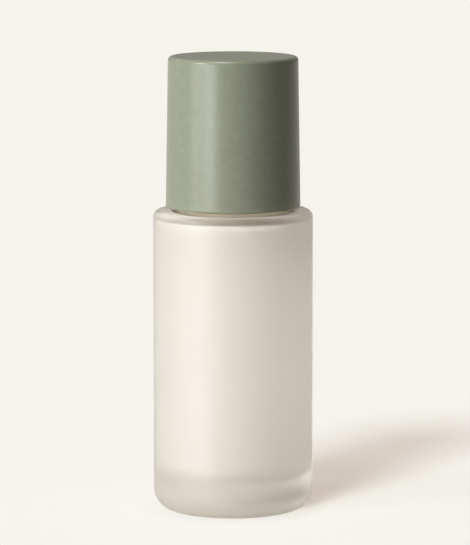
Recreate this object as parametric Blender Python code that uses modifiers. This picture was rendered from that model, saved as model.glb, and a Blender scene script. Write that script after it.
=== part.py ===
"""Skincare bottle: a round frosted glass bottle with a treatment pump and a two-piece overcap.

Blender 4.5, metres, +Z up. The origin is the middle of the bottle's foot, and the spout points along -Y.

Every round piece is an outline of (radius, height) points, turned about the Z axis by a Screw modifier. An
outline runs down the outside of its piece and back up the inside. Radii are worked out from the stem outwards
and heights from the bottle's shoulder upwards and downwards, so that each piece follows the one it fits.
"""

import math

import bmesh
import bpy
from mathutils import Matrix, Vector

# Clearances
SEAT_GAP = 0.0002  # between two faces that rest on each other
FIT_GAP = 0.0001  # all round a pressed or snapped fit
RUN_GAP = 0.00015  # all round a sliding or turning fit
STOP_GAP = 0.0004  # left above a stop when the head is fully down
OVERRUN = 0.001  # how far a cutter passes the face that it cuts
MERGE_DISTANCE = 0.00001

# Glass bottle
BODY_RADIUS = 0.020
SHOULDER_HEIGHT = 0.07585
HEEL_RADIUS = 0.0052
SHOULDER_RADIUS = 0.0017
SIDE_WALL = 0.0034
BASE_WALL = 0.0085
SHOULDER_WALL = 0.0021
INNER_HEEL_RADIUS = 0.0045
INNER_SHOULDER_RADIUS = 0.002
BEARING_WIDTH = 0.0022
PUSH_UP_DEPTH = 0.0012
NECK_WALL = 0.00365
NECK_HEIGHT = 0.01675
NECK_FILLET = 0.0012
BORE_FILLET = 0.0012
LIP_RADIUS = 0.0008

# Travel of the moving pieces
STROKE = 0.0045
PISTON_FLOAT = 0.0008
BALL_LIFT = 0.001

# Stem
STEM_BORE_RADIUS = 0.0011
STEM_WALL = 0.0011
STEM_SHOULDER_STEP = 0.0008
STEM_SHOULDER_HEIGHT = 0.0012
PORT_RADIUS = 0.0005
PORT_RISE = 0.0032

# Piston
RELIEF_DEPTH = 0.00025
HUB_WALL = 0.00045
GROOVE_WIDTH = 0.00055
GROOVE_DEPTH = 0.0014
LIP_WALL = 0.00045
LIP_HEIGHT = 0.0009
WAIST_DEPTH = 0.0005
WAIST_SLOPE = 0.0006
RELIEF_HEIGHT = 0.0042
PISTON_LENGTH = 0.006

# Valve plug
PLUG_LAP = 0.00035
PLUG_FLANGE = 0.0012
PLUG_SHANK = 0.002
PLUG_PIN = 0.003
PLUG_PIN_CLEARANCE = 0.0007
PLUG_TIP_CHAMFER = 0.0006

# Return spring
SPRING_RADIUS = 0.0029
WIRE_RADIUS = 0.0003
SPRING_LENGTH = 0.0124
SPRING_TURNS = 8
SPRING_POINTS_PER_TURN = 10
SPRING_EASE_SHARE = 0.25  # how much closer than the mean the end turns lie

# Inlet ball and its cage
BALL_RADIUS = 0.0016
CAGE_CLEARANCE = 0.0004
CAGE_WALL = 0.0012
CAGE_LIP = 0.0008
CAGE_LIP_HOLD = 0.00015
INLET_RADIUS = 0.0008
INLET_LENGTH = 0.0014

# Dip tube
TUBE_RADIUS = 0.002
TUBE_WALL = 0.0006
TUBE_FLOOR_GAP = 0.0016
TUBE_SLANT = 0.0024

# Pump housing
HOUSING_WALL = 0.001
CUP_STEP = 0.00145
CUP_DEPTH = 0.008
FLANGE_THICKNESS = 0.0012
NECK_CLEARANCE = 0.00035
TAIL_WALL = 0.0009
TAIL_DEPTH = 0.007
VENT_RADIUS = 0.0004

# Stem guide
NOSE_LENGTH = 0.0016
GUIDE_WALL = 0.0009
GUIDE_TUBE_WALL = 0.001
GUIDE_TUBE_RISE = 0.0016
GUIDE_FLOOR = 0.001
GUIDE_STEP = 0.00115
CATCH_WIDTH = 0.0012
SKIRT_LAP = 0.0008

# Gasket
GASKET_THICKNESS = 0.001

# Screw collar
THREAD_DEPTH = 0.00115
THREAD_GAP = 0.00025
COLLAR_WALL = 0.0012
COLLAR_DECK = 0.0012
COLLAR_LIFT = 0.0008
GRIP_COUNT = 24
GRIP_DEPTH = 0.0003
GRIP_RADIUS = 0.00045

# Collar sleeve
SLEEVE_WALL = 0.0004
SLEEVE_LIFT = 0.0005
SLEEVE_EDGE = 0.0008

# Pump head
HEAD_GAP = 0.0003
SKIRT_WALL = 0.001
HEAD_DECK = 0.0014
SOCKET_WALL = 0.0012
SOCKET_DEPTH = 0.0037
CHANNEL_RADIUS = 0.0009
SPOUT_WALL = 0.0007
SPOUT_TAPER = 0.0002
SPOUT_TIP_GAP = 0.0006
SPOUT_ROOF = 0.0001
COVER_WALL = 0.0008
COVER_TOP_WALL = 0.0012
COVER_EDGE = 0.0006
DISH_DEPTH = 0.0005
SLOT_CLEARANCE = 0.0002
HEAD_RIB_COUNT = 4
HEAD_RIB_WIDTH = 0.0008

# Overcap
LINER_RIB_COUNT = 12
LINER_RIB_DEPTH = 0.00035
LINER_RIB_WIDTH = 0.0012
LINER_RIB_ROOT = 0.0003
LINER_WALL = 0.00075
LINER_RECESS = 0.001
LINER_LEAD_IN = 0.00025
LEDGE_LAP = 0.0011
LEDGE_THICKNESS = 0.001
SHELL_WALL = 0.00152
SHELL_STEP = 0.0005
SHELL_DRAFT = 0.0002
SHELL_INNER_EDGE = 0.0008
CAP_FOOT_GAP = 0.00075
CAP_FOOT_EDGE = 0.0005
CAP_TAPER = 0.00058
CAP_EDGE = 0.0011
CAP_TOP_WALL = 0.0017
HEAD_ROOM = 0.0005

# Facets round each kind of piece
OUTER_STEPS = 48
CLOSURE_STEPS = 48
HEAD_STEPS = 40
PUMP_STEPS = 32
STEM_STEPS = 24
HOLE_STEPS = 12
RIB_STEPS = 8

# Radii, from the stem outwards
STEM_RADIUS = STEM_BORE_RADIUS + STEM_WALL
STEM_SHOULDER_RADIUS = STEM_RADIUS + STEM_SHOULDER_STEP
RELIEF_RADIUS = STEM_RADIUS + RUN_GAP + RELIEF_DEPTH
HUB_RADIUS = RELIEF_RADIUS + HUB_WALL
PISTON_RADIUS = HUB_RADIUS + GROOVE_WIDTH + LIP_WALL
PLUG_RADIUS = HUB_RADIUS + PLUG_LAP
PUMP_BORE_RADIUS = PISTON_RADIUS + RUN_GAP
CYLINDER_RADIUS = PUMP_BORE_RADIUS + HOUSING_WALL
CUP_BORE_RADIUS = PUMP_BORE_RADIUS + CUP_STEP
CUP_RADIUS = CUP_BORE_RADIUS + HOUSING_WALL
CAGE_RADIUS = BALL_RADIUS + CAGE_CLEARANCE
TAIL_RADIUS = TUBE_RADIUS + FIT_GAP + TAIL_WALL
NECK_BORE_RADIUS = CUP_RADIUS + NECK_CLEARANCE
NECK_RADIUS = NECK_BORE_RADIUS + NECK_WALL
GUIDE_NECK_RADIUS = CUP_BORE_RADIUS + GUIDE_STEP
TOWER_RADIUS = GUIDE_NECK_RADIUS + CATCH_WIDTH
SKIRT_RADIUS = TOWER_RADIUS + HEAD_GAP + SKIRT_WALL
COVER_RADIUS = SKIRT_RADIUS + FIT_GAP + COVER_WALL
SOCKET_RADIUS = STEM_RADIUS + FIT_GAP + SOCKET_WALL
SPOUT_RADIUS = CHANNEL_RADIUS + SPOUT_WALL
COLLAR_BORE_RADIUS = NECK_RADIUS + THREAD_DEPTH + THREAD_GAP
COLLAR_RADIUS = COLLAR_BORE_RADIUS + COLLAR_WALL
SLEEVE_BORE_RADIUS = COLLAR_RADIUS + GRIP_DEPTH + FIT_GAP
SLEEVE_RADIUS = SLEEVE_BORE_RADIUS + SLEEVE_WALL
SLEEVE_MOUTH_RADIUS = COVER_RADIUS + HEAD_GAP
LINER_RIB_RADIUS = SLEEVE_RADIUS + FIT_GAP
LINER_BORE_RADIUS = LINER_RIB_RADIUS + LINER_RIB_DEPTH
LINER_RADIUS = LINER_BORE_RADIUS + LINER_WALL
LEDGE_RADIUS = SLEEVE_RADIUS - LEDGE_LAP
SPOUT_REACH = LEDGE_RADIUS - SPOUT_TIP_GAP
SHELL_BORE_RADIUS = LINER_RADIUS + FIT_GAP
SHELL_RADIUS = SHELL_BORE_RADIUS + SHELL_WALL

# Heights of the closure and the head, from the shoulder upwards
LAND_HEIGHT = SHOULDER_HEIGHT + NECK_HEIGHT
GASKET_FOOT = LAND_HEIGHT + SEAT_GAP
FLANGE_FOOT = GASKET_FOOT + GASKET_THICKNESS + SEAT_GAP
FLANGE_TOP = FLANGE_FOOT + FLANGE_THICKNESS
DECK_FOOT = FLANGE_TOP + SEAT_GAP
DECK_TOP = DECK_FOOT + COLLAR_DECK
CATCH_FOOT = DECK_TOP + SEAT_GAP
SLEEVE_TOP = CATCH_FOOT + SLEEVE_WALL
HEAD_FOOT = DECK_TOP + STOP_GAP + STROKE
TOWER_TOP = HEAD_FOOT + SKIRT_LAP
GUIDE_FLOOR_TOP = CATCH_FOOT + GUIDE_FLOOR
GUIDE_TUBE_TOP = GUIDE_FLOOR_TOP + GUIDE_TUBE_RISE
SOCKET_FOOT = GUIDE_TUBE_TOP + STOP_GAP + STROKE
STEM_TOP = SOCKET_FOOT + SOCKET_DEPTH
CHANNEL_HEIGHT = STEM_TOP + SEAT_GAP + CHANNEL_RADIUS
HEAD_TOP = CHANNEL_HEIGHT + SPOUT_RADIUS + SPOUT_ROOF
COVER_TOP = HEAD_TOP + SEAT_GAP + COVER_TOP_WALL
COLLAR_FOOT = SHOULDER_HEIGHT + COLLAR_LIFT
SLEEVE_FOOT = SHOULDER_HEIGHT + SLEEVE_LIFT
CAP_FOOT = SHOULDER_HEIGHT + CAP_FOOT_GAP
CAP_CEILING = COVER_TOP + HEAD_ROOM
CAP_TOP = CAP_CEILING + CAP_TOP_WALL
LINER_FOOT = CAP_FOOT + LINER_RECESS
LEDGE_FOOT = SLEEVE_TOP + SEAT_GAP
LEDGE_TOP = LEDGE_FOOT + LEDGE_THICKNESS

# Heights of the pump's inner pieces, from the housing's flange downwards
CUP_FLOOR = FLANGE_FOOT - CUP_DEPTH
NOSE_FOOT = CUP_FLOOR - NOSE_LENGTH
PISTON_TOP = NOSE_FOOT - SEAT_GAP - PISTON_FLOAT
PISTON_FOOT = PISTON_TOP - PISTON_LENGTH
STEM_SHOULDER_TOP = NOSE_FOOT + STEM_SHOULDER_HEIGHT
PLUG_TOP = PISTON_FOOT - SEAT_GAP
PLUG_FOOT = PLUG_TOP - PLUG_FLANGE
SPRING_FOOT = PLUG_FOOT - SEAT_GAP - SPRING_LENGTH
SPRING_SEAT = SPRING_FOOT - SEAT_GAP
CAGE_LIP_FOOT = SPRING_SEAT - CAGE_LIP
CAGE_LIP_RADIUS = BALL_RADIUS - CAGE_LIP_HOLD
BALL_TOP_GAP = math.sqrt(BALL_RADIUS**2 - CAGE_LIP_RADIUS**2) + SEAT_GAP
BALL_HEIGHT = CAGE_LIP_FOOT - BALL_TOP_GAP - BALL_LIFT
CONE_FOOT = BALL_HEIGHT - math.sqrt(2) * (BALL_RADIUS + SEAT_GAP) + INLET_RADIUS
TUBE_SEAT = CONE_FOOT - INLET_LENGTH
TUBE_TOP = TUBE_SEAT - SEAT_GAP
TUBE_FOOT = BASE_WALL + TUBE_FLOOR_GAP
TAIL_FOOT = TUBE_SEAT - TAIL_DEPTH

SMOOTH_ANGLE = math.radians(40)

# Colour, roughness, metallic value and transmission of each finish
FINISHES = {
    "frosted_glass": ((0.78, 0.76, 0.71), 0.45, 0.0, 0.6),
    "painted_sage": ((0.235, 0.265, 0.20), 0.5, 0.0, 0.0),
    "natural_polypropylene": ((0.72, 0.72, 0.70), 0.4, 0.0, 0.0),
    "moulded_sage": ((0.26, 0.29, 0.23), 0.4, 0.0, 0.0),
    "satin_aluminium": ((0.66, 0.65, 0.62), 0.3, 1.0, 0.0),
    "soft_gasket": ((0.80, 0.80, 0.78), 0.6, 0.0, 0.0),
    "piston_polyethylene": ((0.62, 0.66, 0.70), 0.35, 0.0, 0.0),
    "spring_steel": ((0.55, 0.56, 0.57), 0.25, 1.0, 0.0),
    "clear_tube": ((0.75, 0.77, 0.77), 0.25, 0.0, 0.5),
}


def clear_scene():
    """Removes every object and every collection that the startup file holds."""
    for obj in list(bpy.data.objects):
        bpy.data.objects.remove(obj)
    for collection in list(bpy.data.collections):
        bpy.data.collections.remove(collection)


def new_collection(name):
    collection = bpy.data.collections.new(name)
    bpy.context.scene.collection.children.link(collection)
    return collection


def new_material(finish):
    """A Principled material for one finish, in a copy of its own for each piece."""
    colour, roughness, metallic, transmission = FINISHES[finish]
    material = bpy.data.materials.new(finish)
    material.use_nodes = True
    shader = material.node_tree.nodes["Principled BSDF"]
    shader.inputs["Base Color"].default_value = (*colour, 1)
    shader.inputs["Roughness"].default_value = roughness
    shader.inputs["Metallic"].default_value = metallic
    shader.inputs["Transmission Weight"].default_value = transmission
    material.diffuse_color = (*colour, 1)
    return material


def new_carrier(name, parent):
    """An empty on the common axis, which carries the pieces that move as one."""
    carrier = bpy.data.objects.new(name, None)
    carrier.parent = parent
    PARTS.objects.link(carrier)
    return carrier


def arc(centre_radius, centre_height, radius, start, end, steps):
    """Points on a round stretch of an outline, from one angle in degrees to another, both ends included."""
    angles = [math.radians(start + (end - start) * step / steps) for step in range(steps + 1)]
    return [
        (centre_radius + radius * math.cos(angle), centre_height + radius * math.sin(angle))
        for angle in angles
    ]


def bowl(edge_radius, edge_height, depth, steps):
    """Points on a shallow parabola, from its middle on the axis, which lies `depth` above its edge, outwards."""
    shares = [step / steps for step in range(steps + 1)]
    return [(edge_radius * share, edge_height + depth * (1 - share**2)) for share in shares]


def turned(name, outline, steps, finish, carrier, height=0):
    """Spins an outline about the Z axis. An outline that starts on the axis ends there too and isn't joined up."""
    points = [(radius, 0, level) for radius, level in outline]
    edges = [(index, index + 1) for index in range(len(points) - 1)]
    if outline[0][0] > 0:
        edges.append((len(points) - 1, 0))
    mesh = bpy.data.meshes.new(name)
    mesh.from_pydata(points, edges, [])
    piece = bpy.data.objects.new(name, mesh)
    screw = piece.modifiers.new("Turn", "SCREW")
    screw.axis = "Z"
    screw.angle = 2 * math.pi
    screw.steps = steps
    screw.render_steps = steps
    screw.use_merge_vertices = True
    screw.merge_threshold = MERGE_DISTANCE
    return place(piece, finish, carrier, height)


def place(piece, finish, carrier, height):
    """Links a piece, gives it its material and puts it on the axis at a height, under its carrier."""
    PARTS.objects.link(piece)
    piece.data.materials.append(new_material(finish))
    piece.parent = carrier
    piece.location.z = height
    return piece


def helper(name, mesh_maker):
    """A shape that only cuts another or is joined to it, from a function that fills a bmesh."""
    mesh = bpy.data.meshes.new(name)
    shape = bmesh.new()
    mesh_maker(shape)
    shape.to_mesh(mesh)
    shape.free()
    obj = bpy.data.objects.new(name, mesh)
    obj.hide_render = True
    obj.display_type = "WIRE"
    CUTTERS.objects.link(obj)
    return obj


def add_rod(shape, start, end, start_radius, end_radius, sides):
    """Adds a closed cylinder or cone between two points, turned by half a facet so no edge is on its middle plane."""
    along = end - start
    half_facet = Matrix.Rotation(math.pi / sides, 4, "Z")
    turn = along.to_track_quat("Z", "Y").to_matrix().to_4x4() @ half_facet
    bmesh.ops.create_cone(
        shape,
        cap_ends=True,
        segments=sides,
        radius1=start_radius,
        radius2=end_radius,
        depth=along.length,
        matrix=Matrix.Translation((start + end) / 2) @ turn,
    )


def add_box(shape, size, centre, turn=None):
    """Adds a box of three sizes, turned about its centre."""
    scale = Matrix.Diagonal((*size, 1))
    turn = turn or Matrix.Identity(4)
    bmesh.ops.create_cube(shape, size=1, matrix=Matrix.Translation(centre) @ turn @ scale)


def combine(piece, other, operation):
    """Cuts a helper from a piece, or joins it on. Both keep their own places."""
    boolean = piece.modifiers.new(other.name, "BOOLEAN")
    boolean.object = other
    boolean.operation = operation
    boolean.solver = "EXACT"


def finish_surface(piece):
    """Turns a piece's modifiers into its mesh, and shades it smooth but for its corners."""
    bpy.context.view_layer.update()
    evaluated = piece.evaluated_get(bpy.context.evaluated_depsgraph_get())
    mesh = bpy.data.meshes.new_from_object(evaluated)
    piece.modifiers.clear()
    piece.data = mesh
    mesh.shade_smooth()
    mesh.set_sharp_from_angle(angle=SMOOTH_ANGLE)


def make_bottle(carrier):
    """Thick-walled glass with a rounded heel, a flat shoulder, a plain neck and a push-up under its base."""
    inner_radius = BODY_RADIUS - SIDE_WALL
    ceiling = SHOULDER_HEIGHT - SHOULDER_WALL
    ring_radius = BODY_RADIUS - HEEL_RADIUS - BEARING_WIDTH
    inner_heel = arc(
        inner_radius - INNER_HEEL_RADIUS, BASE_WALL + INNER_HEEL_RADIUS, INNER_HEEL_RADIUS, -90, 0, 4
    )
    inner_shoulder = arc(
        inner_radius - INNER_SHOULDER_RADIUS, ceiling - INNER_SHOULDER_RADIUS, INNER_SHOULDER_RADIUS, 0, 90, 4
    )
    bore_corner = arc(NECK_BORE_RADIUS + BORE_FILLET, ceiling + BORE_FILLET, BORE_FILLET, -90, -180, 3)
    lip_inside = arc(NECK_BORE_RADIUS + LIP_RADIUS, LAND_HEIGHT - LIP_RADIUS, LIP_RADIUS, 180, 90, 3)
    lip_outside = arc(NECK_RADIUS - LIP_RADIUS, LAND_HEIGHT - LIP_RADIUS, LIP_RADIUS, 90, 0, 3)
    neck_foot = arc(NECK_RADIUS + NECK_FILLET, SHOULDER_HEIGHT + NECK_FILLET, NECK_FILLET, 180, 270, 3)
    shoulder = arc(
        BODY_RADIUS - SHOULDER_RADIUS, SHOULDER_HEIGHT - SHOULDER_RADIUS, SHOULDER_RADIUS, 90, 0, 5
    )
    heel = arc(BODY_RADIUS - HEEL_RADIUS, HEEL_RADIUS, HEEL_RADIUS, 0, -90, 7)
    push_up = bowl(ring_radius, 0, PUSH_UP_DEPTH, 4)[::-1]
    inside = [(0, BASE_WALL), *inner_heel, *inner_shoulder, *bore_corner, *lip_inside]
    outside = [*lip_outside, *neck_foot, *shoulder, *heel, *push_up]
    return turned("bottle", inside + outside, OUTER_STEPS, "frosted_glass", carrier)


def make_neck_gasket(carrier):
    """Flat washer between the glass lip and the pump's flange."""
    bore = NECK_BORE_RADIUS + FIT_GAP
    outline = [(NECK_RADIUS, GASKET_THICKNESS), (NECK_RADIUS, 0), (bore, 0), (bore, GASKET_THICKNESS)]
    return turned("neck_gasket", outline, HEAD_STEPS, "soft_gasket", carrier, GASKET_FOOT)


def make_pump_housing(carrier):
    """Flanged cup, pump cylinder, ball cage and dip tube socket in one moulding, with a vent in the cylinder."""
    cage_outer_radius = CAGE_RADIUS + CAGE_WALL
    neck_in = CYLINDER_RADIUS - cage_outer_radius
    outline = [
        (NECK_RADIUS, FLANGE_TOP),
        (NECK_RADIUS, FLANGE_FOOT),
        (CUP_RADIUS, FLANGE_FOOT),
        (CUP_RADIUS, CUP_FLOOR - HOUSING_WALL),
        (CYLINDER_RADIUS, CUP_FLOOR - HOUSING_WALL),
        (CYLINDER_RADIUS, CAGE_LIP_FOOT),
        (cage_outer_radius, CAGE_LIP_FOOT - neck_in),
        (cage_outer_radius, CONE_FOOT),
        (TAIL_RADIUS, TUBE_SEAT),
        (TAIL_RADIUS, TAIL_FOOT),
        (TUBE_RADIUS + FIT_GAP, TAIL_FOOT),
        (TUBE_RADIUS + FIT_GAP, TUBE_SEAT),
        (INLET_RADIUS, TUBE_SEAT),
        (INLET_RADIUS, CONE_FOOT),
        (CAGE_RADIUS, CONE_FOOT + CAGE_RADIUS - INLET_RADIUS),
        (CAGE_RADIUS, CAGE_LIP_FOOT),
        (CAGE_LIP_RADIUS, CAGE_LIP_FOOT),
        (CAGE_LIP_RADIUS, SPRING_SEAT),
        (PUMP_BORE_RADIUS, SPRING_SEAT),
        (PUMP_BORE_RADIUS, CUP_FLOOR),
        (CUP_BORE_RADIUS, CUP_FLOOR),
        (CUP_BORE_RADIUS, FLANGE_TOP),
    ]
    outline = [(radius, level - TAIL_FOOT) for radius, level in outline]
    housing = turned("pump_housing", outline, PUMP_STEPS, "natural_polypropylene", carrier, TAIL_FOOT)
    vent_height = (PISTON_TOP + PISTON_FOOT) / 2
    start = Vector((0, 0, vent_height))
    end = Vector((CYLINDER_RADIUS + OVERRUN, 0, vent_height))
    vent = helper("vent_cutter", lambda shape: add_rod(shape, start, end, VENT_RADIUS, VENT_RADIUS, HOLE_STEPS))
    combine(housing, vent, "DIFFERENCE")
    return housing


def make_stem_guide(carrier):
    """Insert that closes the cup, guides the stem, stops its shoulder and traps the collar under its catch."""
    body_radius = CUP_BORE_RADIUS - FIT_GAP
    body_foot = CUP_FLOOR + SEAT_GAP
    nose_radius = PUMP_BORE_RADIUS - RUN_GAP
    pocket_floor = body_foot + GUIDE_FLOOR
    shoulder_bore = STEM_SHOULDER_RADIUS + RUN_GAP
    shoulder_stop = STEM_SHOULDER_TOP + SEAT_GAP
    stem_bore = STEM_RADIUS + RUN_GAP
    tube_radius = stem_bore + GUIDE_TUBE_WALL
    tower_bore = TOWER_RADIUS - GUIDE_WALL
    outline = [
        (TOWER_RADIUS, TOWER_TOP),
        (TOWER_RADIUS, CATCH_FOOT),
        (GUIDE_NECK_RADIUS, CATCH_FOOT),
        (GUIDE_NECK_RADIUS, DECK_FOOT),
        (body_radius, DECK_FOOT),
        (body_radius, body_foot),
        (nose_radius, body_foot),
        (nose_radius, NOSE_FOOT),
        (shoulder_bore, NOSE_FOOT),
        (shoulder_bore, shoulder_stop),
        (stem_bore, shoulder_stop),
        (stem_bore, GUIDE_TUBE_TOP),
        (tube_radius, GUIDE_TUBE_TOP),
        (tube_radius, pocket_floor),
        (body_radius - GUIDE_WALL, pocket_floor),
        (body_radius - GUIDE_WALL, GUIDE_FLOOR_TOP),
        (tower_bore, GUIDE_FLOOR_TOP),
        (tower_bore, TOWER_TOP),
    ]
    outline = [(radius, level - NOSE_FOOT) for radius, level in outline]
    return turned("stem_guide", outline, PUMP_STEPS, "natural_polypropylene", carrier, NOSE_FOOT)


def make_stem(carrier):
    """Hollow plunger stem, with the shoulder that drives the piston and two ports crossing its foot."""
    outline = [
        (STEM_RADIUS, STEM_TOP),
        (STEM_RADIUS, STEM_SHOULDER_TOP),
        (STEM_SHOULDER_RADIUS, STEM_SHOULDER_TOP),
        (STEM_SHOULDER_RADIUS, NOSE_FOOT),
        (STEM_RADIUS, NOSE_FOOT),
        (STEM_RADIUS, PISTON_FOOT),
        (STEM_BORE_RADIUS, PISTON_FOOT),
        (STEM_BORE_RADIUS, STEM_TOP),
    ]
    outline = [(radius, level - PISTON_FOOT) for radius, level in outline]
    stem = turned("stem", outline, STEM_STEPS, "natural_polypropylene", carrier, PISTON_FOOT)
    port_height = PISTON_FOOT + PORT_RISE
    reach = Vector((STEM_RADIUS + OVERRUN, 0, 0))
    middle = Vector((0, 0, port_height))

    def add_port(shape):
        add_rod(shape, middle - reach, middle + reach, PORT_RADIUS, PORT_RADIUS, HOLE_STEPS)

    combine(stem, helper("port_cutter", add_port), "DIFFERENCE")
    return stem


def make_valve_plug(carrier):
    """Plug in the stem's foot: the piston seals on its flange and its pin centres the spring."""
    pin_radius = SPRING_RADIUS - WIRE_RADIUS - PLUG_PIN_CLEARANCE
    shank_radius = STEM_BORE_RADIUS - FIT_GAP
    outline = [
        (0, PLUG_FLANGE + PLUG_SHANK),
        (shank_radius, PLUG_FLANGE + PLUG_SHANK),
        (shank_radius, PLUG_FLANGE),
        (PLUG_RADIUS, PLUG_FLANGE),
        (PLUG_RADIUS, 0),
        (pin_radius, 0),
        (pin_radius, PLUG_TIP_CHAMFER - PLUG_PIN),
        (pin_radius - PLUG_TIP_CHAMFER, -PLUG_PIN),
        (0, -PLUG_PIN),
    ]
    return turned("valve_plug", outline, STEM_STEPS, "natural_polypropylene", carrier, PLUG_FOOT)


def make_piston(carrier):
    """Sliding seal with two lips on the cylinder and a relieved bore that feeds the stem's ports."""
    waist_radius = PISTON_RADIUS - WAIST_DEPTH
    groove_radius = PISTON_RADIUS - LIP_WALL
    seal_radius = STEM_RADIUS + RUN_GAP
    outline = [
        (PISTON_RADIUS, PISTON_LENGTH),
        (PISTON_RADIUS, PISTON_LENGTH - LIP_HEIGHT),
        (waist_radius, PISTON_LENGTH - LIP_HEIGHT - WAIST_SLOPE),
        (waist_radius, GROOVE_DEPTH + WAIST_SLOPE),
        (PISTON_RADIUS, LIP_HEIGHT),
        (PISTON_RADIUS, 0),
        (groove_radius, 0),
        (groove_radius - WAIST_DEPTH / 2, GROOVE_DEPTH),
        (HUB_RADIUS, GROOVE_DEPTH),
        (HUB_RADIUS, 0),
        (RELIEF_RADIUS, 0),
        (RELIEF_RADIUS, RELIEF_HEIGHT),
        (seal_radius, RELIEF_HEIGHT),
        (seal_radius, PISTON_LENGTH),
    ]
    return turned("piston", outline, PUMP_STEPS, "piston_polyethylene", carrier, PISTON_FOOT)


def make_pump_spring(carrier):
    """Compression spring: one unbroken helix whose end turns lie closer than its middle ones."""
    rise = SPRING_LENGTH - 2 * WIRE_RADIUS
    count = SPRING_TURNS * SPRING_POINTS_PER_TURN
    points = []
    for index in range(count + 1):
        share = index / count
        angle = 2 * math.pi * SPRING_TURNS * share
        eased = share - SPRING_EASE_SHARE * math.sin(2 * math.pi * share) / (2 * math.pi)
        level = WIRE_RADIUS + rise * eased
        points.append(Vector((SPRING_RADIUS * math.cos(angle), SPRING_RADIUS * math.sin(angle), level)))
    curve = bpy.data.curves.new("pump_spring", "CURVE")
    curve.dimensions = "3D"
    curve.bevel_depth = WIRE_RADIUS
    curve.bevel_resolution = 1
    curve.use_fill_caps = True
    spline = curve.splines.new("POLY")
    spline.points.add(count)
    for point, place_of_point in zip(spline.points, points):
        point.co = (*place_of_point, 1)
    spring = place(bpy.data.objects.new("pump_spring", curve), "spring_steel", carrier, SPRING_FOOT)
    half_turn = SPRING_POINTS_PER_TURN // 2
    spans = [
        (points[first] - points[second]).length
        for first in range(count + 1)
        for second in range(first + half_turn, count + 1)
    ]
    print(f"pump_spring: least gap to itself {1000 * (min(spans) - 2 * WIRE_RADIUS):.2f} mm")
    return spring


def make_ball_valve(carrier):
    """Inlet ball, loose in its cage."""
    mesh = bpy.data.meshes.new("ball_valve")
    shape = bmesh.new()
    bmesh.ops.create_uvsphere(shape, u_segments=STEM_STEPS, v_segments=HOLE_STEPS, radius=BALL_RADIUS)
    shape.to_mesh(mesh)
    shape.free()
    ball = bpy.data.objects.new("ball_valve", mesh)
    return place(ball, "spring_steel", carrier, BALL_HEIGHT)


def make_dip_tube(carrier):
    """Straight suction tube, cut on a slant at its foot."""
    length = TUBE_TOP - TUBE_FOOT
    bore = TUBE_RADIUS - TUBE_WALL
    outline = [(TUBE_RADIUS, length), (TUBE_RADIUS, 0), (bore, 0), (bore, length)]
    tube = turned("dip_tube", outline, STEM_STEPS, "clear_tube", carrier, TUBE_FOOT)
    slant = math.atan2(TUBE_SLANT, 2 * TUBE_RADIUS)
    side = 2 * (TUBE_SLANT + TUBE_RADIUS + OVERRUN)
    turn = Matrix.Rotation(slant, 4, "X")
    centre = Vector((0, 0, TUBE_FOOT + TUBE_SLANT / 2)) + turn @ Vector((0, 0, -side / 2))
    cutter = helper("tube_foot_cutter", lambda shape: add_box(shape, (side, side, side), centre, turn))
    combine(tube, cutter, "DIFFERENCE")
    return tube


def make_screw_collar(carrier):
    """Closure that holds the pump down: a thin deck over a deep skirt with half-round grip ribs outside."""
    hole = GUIDE_NECK_RADIUS + RUN_GAP
    height = DECK_TOP - COLLAR_FOOT
    outline = [
        (COLLAR_RADIUS, height),
        (COLLAR_RADIUS, 0),
        (COLLAR_BORE_RADIUS, 0),
        (COLLAR_BORE_RADIUS, height - COLLAR_DECK),
        (hole, height - COLLAR_DECK),
        (hole, height),
    ]
    collar = turned("screw_collar", outline, CLOSURE_STEPS, "moulded_sage", carrier, COLLAR_FOOT)
    rib_centre = COLLAR_RADIUS + GRIP_DEPTH - GRIP_RADIUS

    def add_ribs(shape):
        for index in range(GRIP_COUNT):
            turn = Matrix.Rotation(2 * math.pi * index / GRIP_COUNT, 4, "Z")
            top = turn @ Vector((rib_centre, 0, DECK_FOOT))
            foot = turn @ Vector((rib_centre, 0, COLLAR_FOOT + GRIP_RADIUS))
            add_rod(shape, foot, top, GRIP_RADIUS, GRIP_RADIUS, RIB_STEPS)

    combine(collar, helper("grip_ribs", add_ribs), "UNION")
    return collar


def make_collar_sleeve(carrier):
    """Drawn metal sleeve over the collar, with a rounded top edge and a lip turned in round the pump head."""
    height = SLEEVE_TOP - SLEEVE_FOOT
    edge_radius = SLEEVE_RADIUS - SLEEVE_EDGE
    edge_height = height - SLEEVE_EDGE
    inner_edge = SLEEVE_EDGE - SLEEVE_WALL
    outline = [
        *arc(edge_radius, edge_height, SLEEVE_EDGE, 90, 0, 4),
        (SLEEVE_RADIUS, 0),
        (SLEEVE_BORE_RADIUS, 0),
        *arc(edge_radius, edge_height, inner_edge, 0, 90, 3),
        (SLEEVE_MOUTH_RADIUS, height - SLEEVE_WALL),
        (SLEEVE_MOUTH_RADIUS, height),
    ]
    return turned("collar_sleeve", outline, CLOSURE_STEPS, "satin_aluminium", carrier, SLEEVE_FOOT)


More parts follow.
